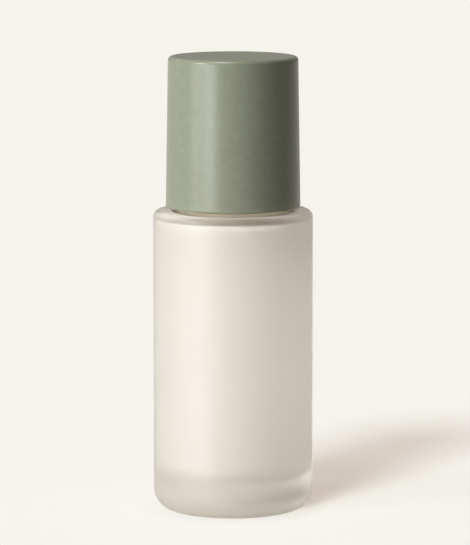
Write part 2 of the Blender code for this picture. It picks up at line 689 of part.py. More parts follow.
def make_actuator(carrier):
    """Pump head: a cup with a ribbed socket for the stem and a spout on its front, with its channel."""
    skirt_bore = TOWER_RADIUS + HEAD_GAP
    socket_bore = STEM_RADIUS + FIT_GAP
    deck_foot = HEAD_TOP - HEAD_DECK
    riser_top = CHANNEL_HEIGHT + CHANNEL_RADIUS + SPOUT_ROOF
    outline = [
        (0, HEAD_TOP),
        (SKIRT_RADIUS, HEAD_TOP),
        (SKIRT_RADIUS, HEAD_FOOT),
        (skirt_bore, HEAD_FOOT),
        (skirt_bore, deck_foot),
        (SOCKET_RADIUS, deck_foot),
        (SOCKET_RADIUS, SOCKET_FOOT),
        (socket_bore, SOCKET_FOOT),
        (socket_bore, STEM_TOP + SEAT_GAP),
        (STEM_BORE_RADIUS, STEM_TOP + SEAT_GAP),
        (STEM_BORE_RADIUS, riser_top),
        (0, riser_top),
    ]
    outline = [(radius, level - HEAD_FOOT) for radius, level in outline]
    head = turned("actuator", outline, HEAD_STEPS, "moulded_sage", carrier, HEAD_FOOT)
    middle = Vector((0, 0, CHANNEL_HEIGHT))
    root = middle - Vector((0, (socket_bore + SOCKET_RADIUS) / 2, 0))
    tip = middle - Vector((0, SPOUT_REACH, 0))
    past_tip = tip - Vector((0, OVERRUN, 0))
    tip_radius = SPOUT_RADIUS - SPOUT_TAPER

    def add_spout(shape):
        add_rod(shape, root, tip, SPOUT_RADIUS, tip_radius, STEM_STEPS)

    def add_channel(shape):
        add_rod(shape, middle, past_tip, CHANNEL_RADIUS, CHANNEL_RADIUS, HOLE_STEPS)

    rib_foot = TOWER_TOP + STROKE + STOP_GAP
    rib_top = HEAD_TOP - HEAD_DECK / 2
    rib_start = (socket_bore + SOCKET_RADIUS) / 2
    rib_end = skirt_bore + SKIRT_WALL / 2
    rib_size = (rib_end - rib_start, HEAD_RIB_WIDTH, rib_top - rib_foot)
    rib_centre = Vector(((rib_start + rib_end) / 2, 0, (rib_foot + rib_top) / 2))

    def add_ribs(shape):
        for index in range(HEAD_RIB_COUNT):
            turn = Matrix.Rotation(2 * math.pi * (index + 0.5) / HEAD_RIB_COUNT, 4, "Z")
            add_box(shape, rib_size, turn @ rib_centre, turn)

    combine(head, helper("head_ribs", add_ribs), "UNION")
    combine(head, helper("spout", add_spout), "UNION")
    combine(head, helper("channel_cutter", add_channel), "DIFFERENCE")
    return head


def make_actuator_cover(carrier):
    """Outer shell of the pump head, with a finger dish on top and a slot that drops over the spout."""
    bore = SKIRT_RADIUS + FIT_GAP
    height = COVER_TOP - HEAD_FOOT
    dish_radius = COVER_RADIUS - COVER_EDGE
    outline = [
        *bowl(dish_radius, height, -DISH_DEPTH, 4),
        *arc(dish_radius, height - COVER_EDGE, COVER_EDGE, 90, 0, 3)[1:],
        (COVER_RADIUS, 0),
        (bore, 0),
        (bore, height - COVER_TOP_WALL),
        (0, height - COVER_TOP_WALL),
    ]
    cover = turned("actuator_cover", outline, HEAD_STEPS, "moulded_sage", carrier, HEAD_FOOT)
    half_width = SPOUT_RADIUS + SLOT_CLEARANCE
    reach = COVER_RADIUS + OVERRUN
    middle = Vector((0, 0, CHANNEL_HEIGHT))
    front = middle - Vector((0, reach, 0))
    slot_height = CHANNEL_HEIGHT - HEAD_FOOT + OVERRUN
    slot_size = (2 * half_width, reach, slot_height)
    slot_centre = (middle + front) / 2 - Vector((0, 0, slot_height / 2))

    def add_slot_top(shape):
        add_rod(shape, middle, front, half_width, half_width, STEM_STEPS)

    combine(cover, helper("slot_top_cutter", add_slot_top), "DIFFERENCE")
    combine(cover, helper("slot_cutter", lambda shape: add_box(shape, slot_size, slot_centre)), "DIFFERENCE")
    return cover


def make_overcap_liner(carrier):
    """Inner tube of the overcap: its ribs grip the sleeve and its ledge rests on the sleeve's top."""
    height = LEDGE_TOP - LINER_FOOT
    ledge_foot = LEDGE_FOOT - LINER_FOOT
    outline = [
        (LINER_RADIUS, height),
        (LINER_RADIUS, 0),
        (LINER_BORE_RADIUS + LINER_LEAD_IN, 0),
        (LINER_BORE_RADIUS, LINER_LEAD_IN),
        (LINER_BORE_RADIUS, ledge_foot),
        (LEDGE_RADIUS, ledge_foot),
        (LEDGE_RADIUS, height),
    ]
    liner = turned("overcap_liner", outline, CLOSURE_STEPS, "natural_polypropylene", carrier, LINER_FOOT)
    rib_reach = LINER_RIB_DEPTH + LINER_RIB_ROOT
    rib_foot = LINER_FOOT + 2 * LINER_LEAD_IN
    rib_top = LEDGE_FOOT + LEDGE_THICKNESS / 2
    rib_size = (rib_reach, LINER_RIB_WIDTH, rib_top - rib_foot)
    rib_centre = Vector((LINER_RIB_RADIUS + rib_reach / 2, 0, (rib_foot + rib_top) / 2))

    def add_ribs(shape):
        for index in range(LINER_RIB_COUNT):
            turn = Matrix.Rotation(2 * math.pi * index / LINER_RIB_COUNT, 4, "Z")
            add_box(shape, rib_size, turn @ rib_centre, turn)

    combine(liner, helper("liner_ribs", add_ribs), "UNION")
    return liner


def make_overcap_shell(carrier):
    """Outer shell of the overcap: it narrows a little to its top and steps in above the liner."""
    height = CAP_TOP - CAP_FOOT
    ceiling = CAP_CEILING - CAP_FOOT
    step_height = LEDGE_TOP + SEAT_GAP - CAP_FOOT
    top_radius = SHELL_RADIUS - CAP_TAPER
    step_radius = SHELL_BORE_RADIUS - SHELL_STEP
    ceiling_radius = step_radius - SHELL_DRAFT - SHELL_INNER_EDGE
    outline = [
        (0, height),
        *arc(top_radius - CAP_EDGE, height - CAP_EDGE, CAP_EDGE, 90, 0, 5),
        *arc(SHELL_RADIUS - CAP_FOOT_EDGE, CAP_FOOT_EDGE, CAP_FOOT_EDGE, 0, -90, 3),
        (SHELL_BORE_RADIUS, 0),
        (SHELL_BORE_RADIUS, step_height),
        (step_radius, step_height),
        *arc(ceiling_radius, ceiling - SHELL_INNER_EDGE, SHELL_INNER_EDGE, 0, 90, 3),
        (0, ceiling),
    ]
    return turned("overcap_shell", outline, OUTER_STEPS, "painted_sage", carrier, CAP_FOOT)


clear_scene()
PARTS = new_collection("skincare_bottle")
CUTTERS = new_collection("cutters")
bottle_axis = new_carrier("bottle_axis", None)
pump_core_axis = new_carrier("pump_core_axis", bottle_axis)
collar_axis = new_carrier("collar_axis", pump_core_axis)
overcap_axis = new_carrier("overcap_axis", collar_axis)
stem_axis = new_carrier("stem_axis", pump_core_axis)
piston_axis = new_carrier("piston_axis", stem_axis)
head_axis = new_carrier("head_axis", stem_axis)
ball_axis = new_carrier("ball_axis", pump_core_axis)
turned_pieces = [
    make_bottle(bottle_axis),
    make_neck_gasket(pump_core_axis),
    make_pump_housing(pump_core_axis),
    make_stem_guide(pump_core_axis),
    make_dip_tube(pump_core_axis),
    make_screw_collar(collar_axis),
    make_collar_sleeve(collar_axis),
    make_overcap_liner(overcap_axis),
    make_overcap_shell(overcap_axis),
    make_stem(stem_axis),
    make_valve_plug(stem_axis),
    make_piston(piston_axis),
    make_actuator(head_axis),
    make_actuator_cover(head_axis),
    make_ball_valve(ball_axis),
]
make_pump_spring(pump_core_axis)
for turned_piece in turned_pieces:
    finish_surface(turned_piece)
print(f"height of the whole {1000 * CAP_TOP:.1f} mm, overcap {2000 * SHELL_RADIUS:.2f} mm across its foot")
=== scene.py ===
"""Looks of the skincare bottle: frosted glass, a treatment pump and a tall matte overcap.

Lengths are in metres, with +Z up and the spout towards -Y. Almost every piece is turned: an outline of
(radius, height) points, which runs down the outside of the piece and back up the inside, is carried round
the Z axis. Outer radii and heights come from the frame. Walls, edges and grooves are fields of each class.
"""

import logging
import math
from collections.abc import Callable, Sequence
from dataclasses import dataclass
from enum import Enum

import bpy
import numpy as np
from mathutils import Matrix, Vector


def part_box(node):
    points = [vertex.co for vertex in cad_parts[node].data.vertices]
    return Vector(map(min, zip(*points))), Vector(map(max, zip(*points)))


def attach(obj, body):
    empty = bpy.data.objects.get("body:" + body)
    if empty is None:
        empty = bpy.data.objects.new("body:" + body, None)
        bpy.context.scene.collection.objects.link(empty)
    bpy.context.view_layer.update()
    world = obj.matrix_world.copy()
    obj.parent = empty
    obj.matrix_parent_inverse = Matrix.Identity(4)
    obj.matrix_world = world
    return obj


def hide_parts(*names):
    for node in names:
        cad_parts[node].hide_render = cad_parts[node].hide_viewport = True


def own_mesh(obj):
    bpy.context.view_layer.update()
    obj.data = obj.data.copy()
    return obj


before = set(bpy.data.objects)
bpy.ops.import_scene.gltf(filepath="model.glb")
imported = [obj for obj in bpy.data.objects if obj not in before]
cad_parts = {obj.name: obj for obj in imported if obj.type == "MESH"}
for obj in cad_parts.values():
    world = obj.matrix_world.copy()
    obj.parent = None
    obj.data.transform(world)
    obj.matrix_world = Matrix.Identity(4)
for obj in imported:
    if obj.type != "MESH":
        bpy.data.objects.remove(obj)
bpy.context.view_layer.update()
LOG = logging.getLogger("skincare_bottle")

RIBBED_STEPS = 480  # columns round a ribbed or threaded piece
SMOOTH_STEPS = 256  # columns round the overcap's shell and the metal sleeve
ROUND_STEPS = 192  # columns round another outer piece
SMALL_STEPS = 96  # columns round a piece inside the pump
HOLE_STEPS = 24  # columns round a small hole
EDGE_STEPS = 4  # pieces of a rounded edge
SMOOTH_ANGLE = math.radians(40)
TINY = 1e-7
FULL_TURN = 2 * math.pi
SCREW_PITCH = 0.003175  # rise of the closure's thread in one turn
MIX_A, MIX_B, MIX_COLOUR = 6, 7, 2  # the Mix node's two colour inputs and its colour output
# Slot 3 is a dark brown ring and slot 2 a darker, warmer ceiling coat: both are painted shade under the
# overcap, seen through the glass
ETCHED, COATED, PAINTED_SHADE_CEILING, PAINTED_SHADE_RING, CLEAR = range(5)  # material slots of the glass

Material = bpy.types.Material
Object = bpy.types.Object
Socket = bpy.types.NodeSocket
Tree = bpy.types.NodeTree
Moved = tuple[np.ndarray, np.ndarray]
Relief = Callable[[np.ndarray, np.ndarray, np.ndarray], Moved]


def linear(code: str) -> tuple[float, float, float, float]:
    """Turns an sRGB hex colour to linear light.

    Args:
        code: six hex digits after a hash sign.

    Returns:
        Red, green, blue and an alpha of 1.
    """
    parts = np.array([int(code[place : place + 2], 16) for place in (1, 3, 5)]) / 255
    light = np.where(parts <= 0.04045, parts / 12.92, ((parts + 0.055) / 1.055) ** 2.4)
    return (*(float(part) for part in light), 1.0)


def add_node(tree: Tree, kind: str, inputs: dict | None = None, **settings: object) -> bpy.types.Node:
    """Adds a shader node with its settings and links.

    Args:
        tree: the node tree that takes it.
        kind: Blender's name for the kind of node.
        inputs: for each input's name or index, a value, or a socket, or a node whose first output is linked.
        settings: the node's own properties.

    Returns:
        The new node.
    """
    node = tree.nodes.new(kind)
    for name, value in settings.items():
        setattr(node, name, value)
    for key, value in (inputs or {}).items():
        source = value.outputs[0] if isinstance(value, bpy.types.Node) else value
        if isinstance(source, Socket):
            tree.links.new(source, node.inputs[key])
        else:
            node.inputs[key].default_value = source
    return node


def empty_material(name: str) -> tuple[Material, Tree]:
    """Makes a material whose node tree holds nothing yet.

    Args:
        name: the material's name.

    Returns:
        The material and its node tree.
    """
    material = bpy.data.materials.new(name)
    material.use_nodes = True
    material.node_tree.nodes.clear()
    return material, material.node_tree


class Grain(Enum):
    """Kinds of fine relief, each with how far it is stretched along X, Y and Z."""

    EVEN = (1.0, 1.0, 1.0)
    RINGS = (0.01, 0.01, 1.0)
    DRAWN = (1.0, 1.0, 0.02)


@dataclass(frozen=True)
class Texture:
    """Fine relief of a surface: its kind, the spacing of its bumps and their depth."""

    grain: Grain
    spacing: float
    depth: float = 0.0

    def noise(self, tree: Tree, detail: float = 2.0) -> Socket:
        """Adds the noise that draws this relief.

        Args:
            tree: the node tree that takes it.
            detail: how many finer layers of noise are added.

        Returns:
            The noise's value, about 0 to 1.
        """
        place = add_node(tree, "ShaderNodeTexCoord").outputs["Object"]
        scale = tuple(stretch / self.spacing for stretch in self.grain.value)
        mapped = add_node(tree, "ShaderNodeMapping", {"Vector": place, "Scale": scale})
        noise = add_node(tree, "ShaderNodeTexNoise", {"Vector": mapped, "Scale": 1.0, "Detail": detail})
        return noise.outputs[0]

    def normal(self, tree: Tree) -> Socket:
        """Adds a bump node that reads this relief, and returns its normal."""
        settings = {"Strength": 1.0, "Distance": self.depth, "Height": self.noise(tree)}
        return add_node(tree, "ShaderNodeBump", settings).outputs["Normal"]


def clouded(tree: Tree, spacing: float, colour: str, second_colour: str) -> Socket:
    """Adds a tone that drifts between two colours.

    Args:
        tree: the node tree that takes it.
        spacing: how far apart the clouds of tone lie.
        colour: one tone, as an sRGB hex colour.
        second_colour: the other tone.

    Returns:
        The tone's socket.
    """
    tones = {MIX_A: linear(colour), MIX_B: linear(second_colour)}
    clouds = Texture(Grain.EVEN, spacing).noise(tree)
    mix = add_node(tree, "ShaderNodeMix", {"Factor": clouds, **tones}, data_type="RGBA")
    return mix.outputs[MIX_COLOUR]


@dataclass(frozen=True)
class Finish:
    """A finish of one Principled shader, with a second tone clouded into its colour and a fine relief."""

    name: str
    colour: str
    second_colour: str
    roughness: float
    texture: Texture
    cloud_spacing: float = 0.006
    roughness_spread: float = 0.06
    metallic: float = 0.0
    ior: float = 1.5
    subsurface: float = 0.0
    subsurface_reach: float = 0.0008
    transmission: float = 0.0

    def material(self) -> Material:
        """Builds the material.

        Returns:
            A material with this finish.
        """
        material, tree = empty_material(self.name)
        grain = self.texture.noise(tree, detail=1.0)
        low, high = self.roughness - self.roughness_spread, self.roughness + self.roughness_spread
        rough = add_node(tree, "ShaderNodeMapRange", {"Value": grain, "To Min": low, "To Max": high})
        shader = add_node(
            tree,
            "ShaderNodeBsdfPrincipled",
            {
                "Base Color": clouded(tree, self.cloud_spacing, self.colour, self.second_colour),
                "Roughness": rough,
                "Metallic": self.metallic,
                "IOR": self.ior,
                "Subsurface Weight": self.subsurface,
                "Subsurface Radius": (self.subsurface_reach,) * 3,
                "Subsurface Scale": 1.0,
                "Transmission Weight": self.transmission,
                "Normal": self.texture.normal(tree),
            },
        )
        add_node(tree, "ShaderNodeOutputMaterial", {"Surface": shader})
        return material


@dataclass(frozen=True)
class FrostedGlass:
    """Soda-lime glass with an acid-etched outside: light passes, but nothing behind it keeps an edge.

    The etch scatters more white light round the foot, where it is deepest, and eases to the wall's share
    above it. Lamp light passes as if through a clear sheet, so that the glass casts a light shadow.
    """

    name: str = "acid_etched_soda_lime_glass"
    colour: str = "#dddbd6"
    roughness: float = 0.4
    ior: float = 1.52
    milk_colour: str = "#dcd9d1"
    milk_share: float = 0.05
    foot_milk_share: float = 0.4
    foot_top: float = 0.013
    foot_middle: float = 0.006
    lamp_share: str = "#f6f4ef"
    texture: Texture = Texture(Grain.EVEN, 0.0004, 0.000006)

    def material(self) -> Material:
        """Builds the material: rough glass with a little white scattering.

        Returns:
            A material with this finish.
        """
        material, tree = empty_material(self.name)
        normal = self.texture.normal(tree)
        glass = add_node(
            tree,
            "ShaderNodeBsdfPrincipled",
            {
                "Base Color": linear(self.colour),
                "Roughness": self.roughness,
                "IOR": self.ior,
                "Transmission Weight": 1.0,
                "Normal": normal,
            },
        )
        milk = add_node(tree, "ShaderNodeBsdfDiffuse", {"Color": linear(self.milk_colour), "Normal": normal})
        place = add_node(tree, "ShaderNodeTexCoord").outputs["Object"]
        share = add_node(
            tree,
            "ShaderNodeMapRange",
            {
                "Value": add_node(tree, "ShaderNodeSeparateXYZ", {0: place}).outputs["Z"],
                "From Min": self.foot_middle,
                "From Max": self.foot_top,
                "To Min": self.foot_milk_share,
                "To Max": self.milk_share,
            },
            interpolation_type="SMOOTHSTEP",
        )
        etched = add_node(tree, "ShaderNodeMixShader", {0: share, 1: glass, 2: milk})
        clear = add_node(tree, "ShaderNodeBsdfTransparent", {"Color": linear(self.lamp_share)})
        shadow_ray = add_node(tree, "ShaderNodeLightPath").outputs["Is Shadow Ray"]
        surface = add_node(tree, "ShaderNodeMixShader", {0: shadow_ray, 1: etched, 2: clear})
        add_node(tree, "ShaderNodeOutputMaterial", {"Surface": surface})
        return material


@dataclass(frozen=True)
class InnerCoat:
    """White lacquer sprayed inside the glass: it glows softly, as it passes two thirds of the light."""

    name: str = "white_inner_lacquer"
    colour: str = "#f0f1f4"
    second_colour: str = "#edeef1"
    through_colour: str = "#f8f5ef"
    through_share: float = 0.66
    cloud_spacing: float = 0.009

    def material(self) -> Material:
        """Builds the material from a Diffuse and a Translucent shader.

        Returns:
            A material with this finish.
        """
        material, tree = empty_material(self.name)
        tone = clouded(tree, self.cloud_spacing, self.colour, self.second_colour)
        back = add_node(tree, "ShaderNodeBsdfDiffuse", {"Color": tone})
        through = add_node(tree, "ShaderNodeBsdfTranslucent", {"Color": linear(self.through_colour)})
        surface = add_node(tree, "ShaderNodeMixShader", {0: self.through_share, 1: back, 2: through})
        add_node(tree, "ShaderNodeOutputMaterial", {"Surface": surface})
        return material


# Soft-touch lacquer on ABS: matte with a wide soft sheen and the orange peel that sprayed lacquer keeps. The
# pigment's faint mottle is finer than the render shows, so it is drawn 1.6 mm wide
SOFT_TOUCH_LACQUER = Finish(
    name="soft_touch_lacquer_on_abs",
    colour="#9ba18c",
    second_colour="#8b917c",
    roughness=0.3,
    texture=Texture(Grain.EVEN, 0.0004, 0.000009),
    cloud_spacing=0.0016,
)
# Coloured polypropylene from a spark-eroded mould: an even satin with a fine dry grain
MOULDED_SAGE = Finish(
    name="spark_textured_sage_polypropylene",
    colour="#8a927b",
    second_colour="#868e77",
    roughness=0.42,
    texture=Texture(Grain.EVEN, 0.00025, 0.000008),
    subsurface=0.1,
)
# Uncoloured polypropylene: waxy white, and light creeps a little way into it
NATURAL_POLYPROPYLENE = Finish(
    name="natural_polypropylene",
    colour="#dedcd4",
    second_colour="#d6d5ce",
    roughness=0.36,
    texture=Texture(Grain.EVEN, 0.0005, 0.000006),
    subsurface=0.35,
)
# Anodised aluminium drawn over a punch: satin metal with faint lines round it
SATIN_ALUMINIUM = Finish(
    name="satin_anodised_aluminium",
    colour="#d6d4cf",
    second_colour="#cfcdc8",
    roughness=0.37,
    texture=Texture(Grain.RINGS, 0.00012, 0.000003),
    metallic=1.0,
)
# Foamed polyethylene: a soft white with open cells
FOAMED_POLYETHYLENE = Finish(
    name="foamed_polyethylene",
    colour="#e9e8e3",
    second_colour="#dddcd6",
    roughness=0.7,
    texture=Texture(Grain.EVEN, 0.0003, 0.00004),
    cloud_spacing=0.0004,
    subsurface=0.3,
)
# Low-density polyethylene: bluish and waxy, as seals are
SEAL_POLYETHYLENE = Finish(
    name="low_density_polyethylene",
    colour="#cfd8de",
    second_colour="#c6d0d7",
    roughness=0.35,
    texture=Texture(Grain.EVEN, 0.0004, 0.000004),
    subsurface=0.4,
)
# Stainless steel, drawn or ground: bright with a slight haze along the wire
STAINLESS_STEEL = Finish(
    name="drawn_stainless_steel",
    colour="#c9cacb",
    second_colour="#bebfc1",
    roughness=0.22,
    texture=Texture(Grain.EVEN, 0.0001, 0.000002),
    metallic=1.0,
)
# Extruded tube: cloudy and half clear, with faint lines along it
EXTRUDED_TUBE = Finish(
    name="extruded_clear_polyethylene",
    colour="#e6ebea",
    second_colour="#dde3e2",
    roughness=0.3,
    texture=Texture(Grain.DRAWN, 0.00015, 0.000003),
    transmission=0.6,
)


def arc(centre: tuple[float, float], radius: float, start: float, end: float, steps: int = 12) -> np.ndarray:
    """A round stretch of an outline: the centre plus the radius times the cosine and sine of even angles.

    Args:
        centre: its centre's radius and height.
        radius: its own radius.
        start: its first angle in degrees, from +X towards +Z.
        end: its last angle in degrees.
        steps: how many pieces it is cut into.

    Returns:
        Rows of radius and height, both ends included.
    """
    angles = np.radians(np.linspace(start, end, steps + 1))
    return np.array(centre) + radius * np.column_stack([np.cos(angles), np.sin(angles)])


def rounded(corners: Sequence[tuple[float, ...]], edge: float = 0.0, closed: bool = True) -> np.ndarray:
    """An outline with rounded corners.

    Each corner is replaced by the arc that touches both of its sides. With half the corner's angle h and the
    rounding r, the arc starts r / tan(h) from the corner and its centre lies r / sin(h) away along the
    bisector. Points between its ends are the two end spokes, each weighted by the sine of its share of the
    sweep.

    Args:
        corners: rows of radius and height, and of the corner's own rounding where it has one.
        edge: the rounding of every other corner.
        closed: whether the last corner is joined to the first.

    Returns:
        Rows of radius and height.
    """
    table = np.array([(*corner, edge)[:3] for corner in corners], float)
    points, sizes = table[:, :2], table[:, 2:]
    back = np.roll(points, 1, axis=0) - points
    ahead = np.roll(points, -1, axis=0) - points
    if not closed:
        back[0] = -ahead[0]
        ahead[-1] = -back[-1]
    back /= np.linalg.norm(back, axis=1, keepdims=True)
    ahead /= np.linalg.norm(ahead, axis=1, keepdims=True)
    cosine = np.sum(back * ahead, axis=1, keepdims=True)
    half = np.arccos(np.clip(cosine, -1, 1)) / 2
    reach = sizes / np.tan(half)
    bisector = (back + ahead) / np.maximum(np.linalg.norm(back + ahead, axis=1, keepdims=True), TINY)
    centre = points + bisector * sizes / np.sin(half)
    sweep = np.maximum(math.pi - 2 * half, TINY)[:, None]
    share = np.linspace(0, 1, EDGE_STEPS + 1)[None, :, None]
    first = (points + back * reach - centre)[:, None]
    last = (points + ahead * reach - centre)[:, None]
    spokes = (np.sin((1 - share) * sweep) * first + np.sin(share * sweep) * last) / np.sin(sweep)
    return distinct((centre[:, None] + spokes).reshape(-1, 2))


def distinct(outline: np.ndarray) -> np.ndarray:
    """Leaves out each point that lies on the one before it."""
    steps = np.linalg.norm(np.diff(outline, axis=0), axis=1)
    return outline[np.concatenate([[True], steps > TINY])]


def new_object(name: str, points: np.ndarray, faces: list, materials: Sequence[Material]) -> Object:
    """Makes a mesh object in the scene, shaded smooth but for its corners.

    Args:
        name: the piece's name.
        points: rows of X, Y and Z.
        faces: for each face, its points' indices.
        materials: its material slots in order.

    Returns:
        The new object.
    """
    mesh = bpy.data.meshes.new(name)
    mesh.from_pydata(points.tolist(), [], faces)
    for material in materials:
        mesh.materials.append(material)
    smooth(mesh)
    piece = bpy.data.objects.new(name, mesh)
    bpy.context.scene.collection.objects.link(piece)
    return piece


def smooth(mesh: bpy.types.Mesh) -> None:
    """Shades a mesh smooth but for edges sharper than SMOOTH_ANGLE."""
    mesh.shade_smooth()
    mesh.set_sharp_from_angle(angle=SMOOTH_ANGLE)


def grid_quads(rows: int, columns: int, closed: bool) -> np.ndarray:
    """Quads of a grid numbered row by row, whose last column joins the first, and its last row if closed.

    Args:
        rows: how many rows of points there are.
        columns: how many points a row has.
        closed: whether the last row is joined to the first.

    Returns:
        Rows of four point indices, one row for each quad, in the order of the grid's rows.
    """
    row = np.arange(rows if closed else rows - 1)[:, None]
    column = np.arange(columns)[None, :]
    below = (row + 1) % rows
    beside = (column + 1) % columns
    corners = [(row, column), (below, column), (below, beside), (row, beside)]
    return np.stack([level * columns + place for level, place in corners], axis=-1).reshape(-1, 4)


def turned(
    name: str,
    outline: np.ndarray,
    materials: Sequence[Material],
    steps: int = ROUND_STEPS,
    relief: Relief | None = None,
    marks: np.ndarray | None = None,
) -> Object:
    """A surface of revolution: x = r cos(a), y = r sin(a), z = h for each outline point (r, h) and angle a.

    An outline that starts on the axis ends there too, and its two ends become the poles. Any other is closed.

    Args:
        name: the piece's name.
        outline: rows of radius and height.
        materials: its material slots.
        steps: how many columns go round.
        relief: gives new radii and heights from the angles, radii and heights.
        marks: the material slot of each stretch of the outline.

    Returns:
        The new object.
    """
    closed = bool(outline[0, 0] > TINY)
    angles = FULL_TURN * np.arange(steps)[None, :] / steps
    inner = outline if closed else outline[1:-1]
    radii = np.repeat(inner[:, :1], steps, axis=1)
    heights = np.repeat(inner[:, 1:], steps, axis=1)
    if relief:
        radii, heights = relief(np.broadcast_to(angles, radii.shape), radii, heights)
    points = np.stack([radii * np.cos(angles), radii * np.sin(angles), heights], axis=-1).reshape(-1, 3)
    faces = grid_quads(len(inner), steps, closed).tolist()
    if not closed:
        count = len(points)
        poles = np.array([[0, 0, outline[0, 1]], [0, 0, outline[-1, 1]]])
        points = np.concatenate([points, poles])
        column = np.arange(steps)
        beside = (column + 1) % steps
        last = (len(inner) - 1) * steps
        upper = np.column_stack([np.full(steps, count), column, beside])
        lower = np.column_stack([last + column, np.full(steps, count + 1), last + beside])
        faces = upper.tolist() + faces + lower.tolist()
    piece = new_object(name, points, faces, materials)
    if marks is not None:
        piece.data.polygons.foreach_set("material_index", np.repeat(marks, steps).astype(np.int32))
    return piece


def tube(name: str, path: np.ndarray, radius: float, material: Material, sides: int) -> Object:
    """A round wire along a path: each point plus the radius times a turning sum of two directions.

    The first direction points away from the Z axis, square to the path. The second is the path's own
    direction crossed with the first.

    Args:
        name: the piece's name.
        path: rows of X, Y and Z, which never point along the radius.
        radius: the wire's radius.
        material: its only material.
        sides: how many sides go round the wire.

    Returns:
        The new object, with flat closed ends.
    """
    along = np.gradient(path, axis=0)
    along /= np.linalg.norm(along, axis=1, keepdims=True)
    outwards = path * (1, 1, 0)
    outwards -= along * np.sum(outwards * along, axis=1, keepdims=True)
    outwards /= np.linalg.norm(outwards, axis=1, keepdims=True)
    across = np.cross(along, outwards)
    turn = FULL_TURN * np.arange(sides)[None, :, None] / sides
    rings = path[:, None] + radius * (np.cos(turn) * outwards[:, None] + np.sin(turn) * across[:, None])
    points = rings.reshape(-1, 3)
    quads = grid_quads(len(path), sides, False)[:, ::-1]
    first = list(range(sides))[::-1]
    last = list(range(len(points) - sides, len(points)))
    return new_object(name, points, [*quads.tolist(), first, last], [material])


def carve(piece: Object, tool: Object, operation: str) -> None:
    """Cuts a tool from a piece, or joins it on, and removes the tool.

    Args:
        piece: the piece, whose mesh is replaced.
        tool: the closed shape that cuts it or is joined to it.
        operation: DIFFERENCE or UNION.
    """
    boolean = piece.modifiers.new("carve", "BOOLEAN")
    boolean.object = tool
    boolean.operation = operation
    boolean.solver = "EXACT"
    bpy.context.view_layer.update()
    mesh = bpy.data.meshes.new_from_object(piece.evaluated_get(bpy.context.evaluated_depsgraph_get()))
    piece.modifiers.clear()
    old_mesh = piece.data
    piece.data = mesh
    bpy.data.meshes.remove(old_mesh)
    bpy.data.objects.remove(tool)
    mesh.name = piece.name
    smooth(mesh)


def rod(radius: float, end_radius: float, length: float, edge: float = 0.0, steps: int = 48) -> Object:
    """A closed round bar along +Z from the origin, to join on or to cut with.

    Args:
        radius: its radius at the origin.
        end_radius: its radius at the far end.
        length: its length.
        edge: how far its far edge is rounded.
        steps: how many columns go round.

    Returns:
        The new object.
    """
    outline = rounded([(0, length), (end_radius, length, edge), (radius, 0), (0, 0)], closed=False)
    return turned("rod", outline, [], steps)


def box(low: Sequence[float], high: Sequence[float]) -> Object:
    """A closed box to join on or to cut with: every choice of one end for X, Y and Z.

    Args:
        low: its lowest corner.
        high: its highest corner.

    Returns:
        The new object.
    """
    ends = np.array([low, high], float)
    points = ends[np.indices((2, 2, 2)).reshape(3, -1).T, np.arange(3)]
    faces = [(0, 1, 3, 2), (4, 6, 7, 5), (0, 4, 5, 1), (2, 3, 7, 6), (0, 2, 6, 4), (1, 5, 7, 3)]
    return new_object("box", points, faces, [])


@dataclass(frozen=True)
class Thread:
    """Right-handed thread: a trapezoid ridge on the helix height = start + pitch x (angle / full turn).

    A point's turn count is (height - start) / pitch less its angle's share of a turn. Rounded, it names the
    nearest ridge, and what is left over is the point's distance from it. The ridge fades in and out.
    """

    start: float
    turns: float
    depth: float
    foot_width: float = 0.0014
    crest_width: float = 0.0006
    fade_turns: float = 0.08

    def rise(self, angles: np.ndarray, heights: np.ndarray) -> np.ndarray:
        """Works out how far the ridge stands out.

        Args:
            angles: of each point, in radians from 0 to a full turn.
            heights: of each point.

        Returns:
            The ridge's height over its wall, 0 beside it.
        """
        count = (heights - self.start) / SCREW_PITCH - angles / FULL_TURN
        nearest = np.round(count)
        away = np.abs(count - nearest) * SCREW_PITCH
        flank = (self.foot_width - self.crest_width) / 2
        shape = np.clip((self.foot_width / 2 - away) / flank, 0, 1)
        along = nearest + angles / FULL_TURN
        fade = np.clip(along / self.fade_turns, 0, 1) * np.clip((self.turns - along) / self.fade_turns, 0, 1)
        return self.depth * shape * fade


@dataclass(frozen=True)
class Extent:
    """Outer radius, foot and top of a CAD node at rest."""

    radius: float
    foot: float
    top: float


def extent(node: str) -> Extent:
    """Reads a node's outer radius and heights from the frame."""
    low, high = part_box(node)
    return Extent(high.x, low.z, high.z)


def settle(piece: Object, node: str, body: str) -> Object:
    """Lets a piece stand for a CAD node, which it hides, and move with its body.

    Args:
        piece: the new piece.
        node: the CAD node that it replaces.
        body: the CAD body that it rides on.

    Returns:
        The same piece.
    """
    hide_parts(node)
    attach(piece, body)
    return piece


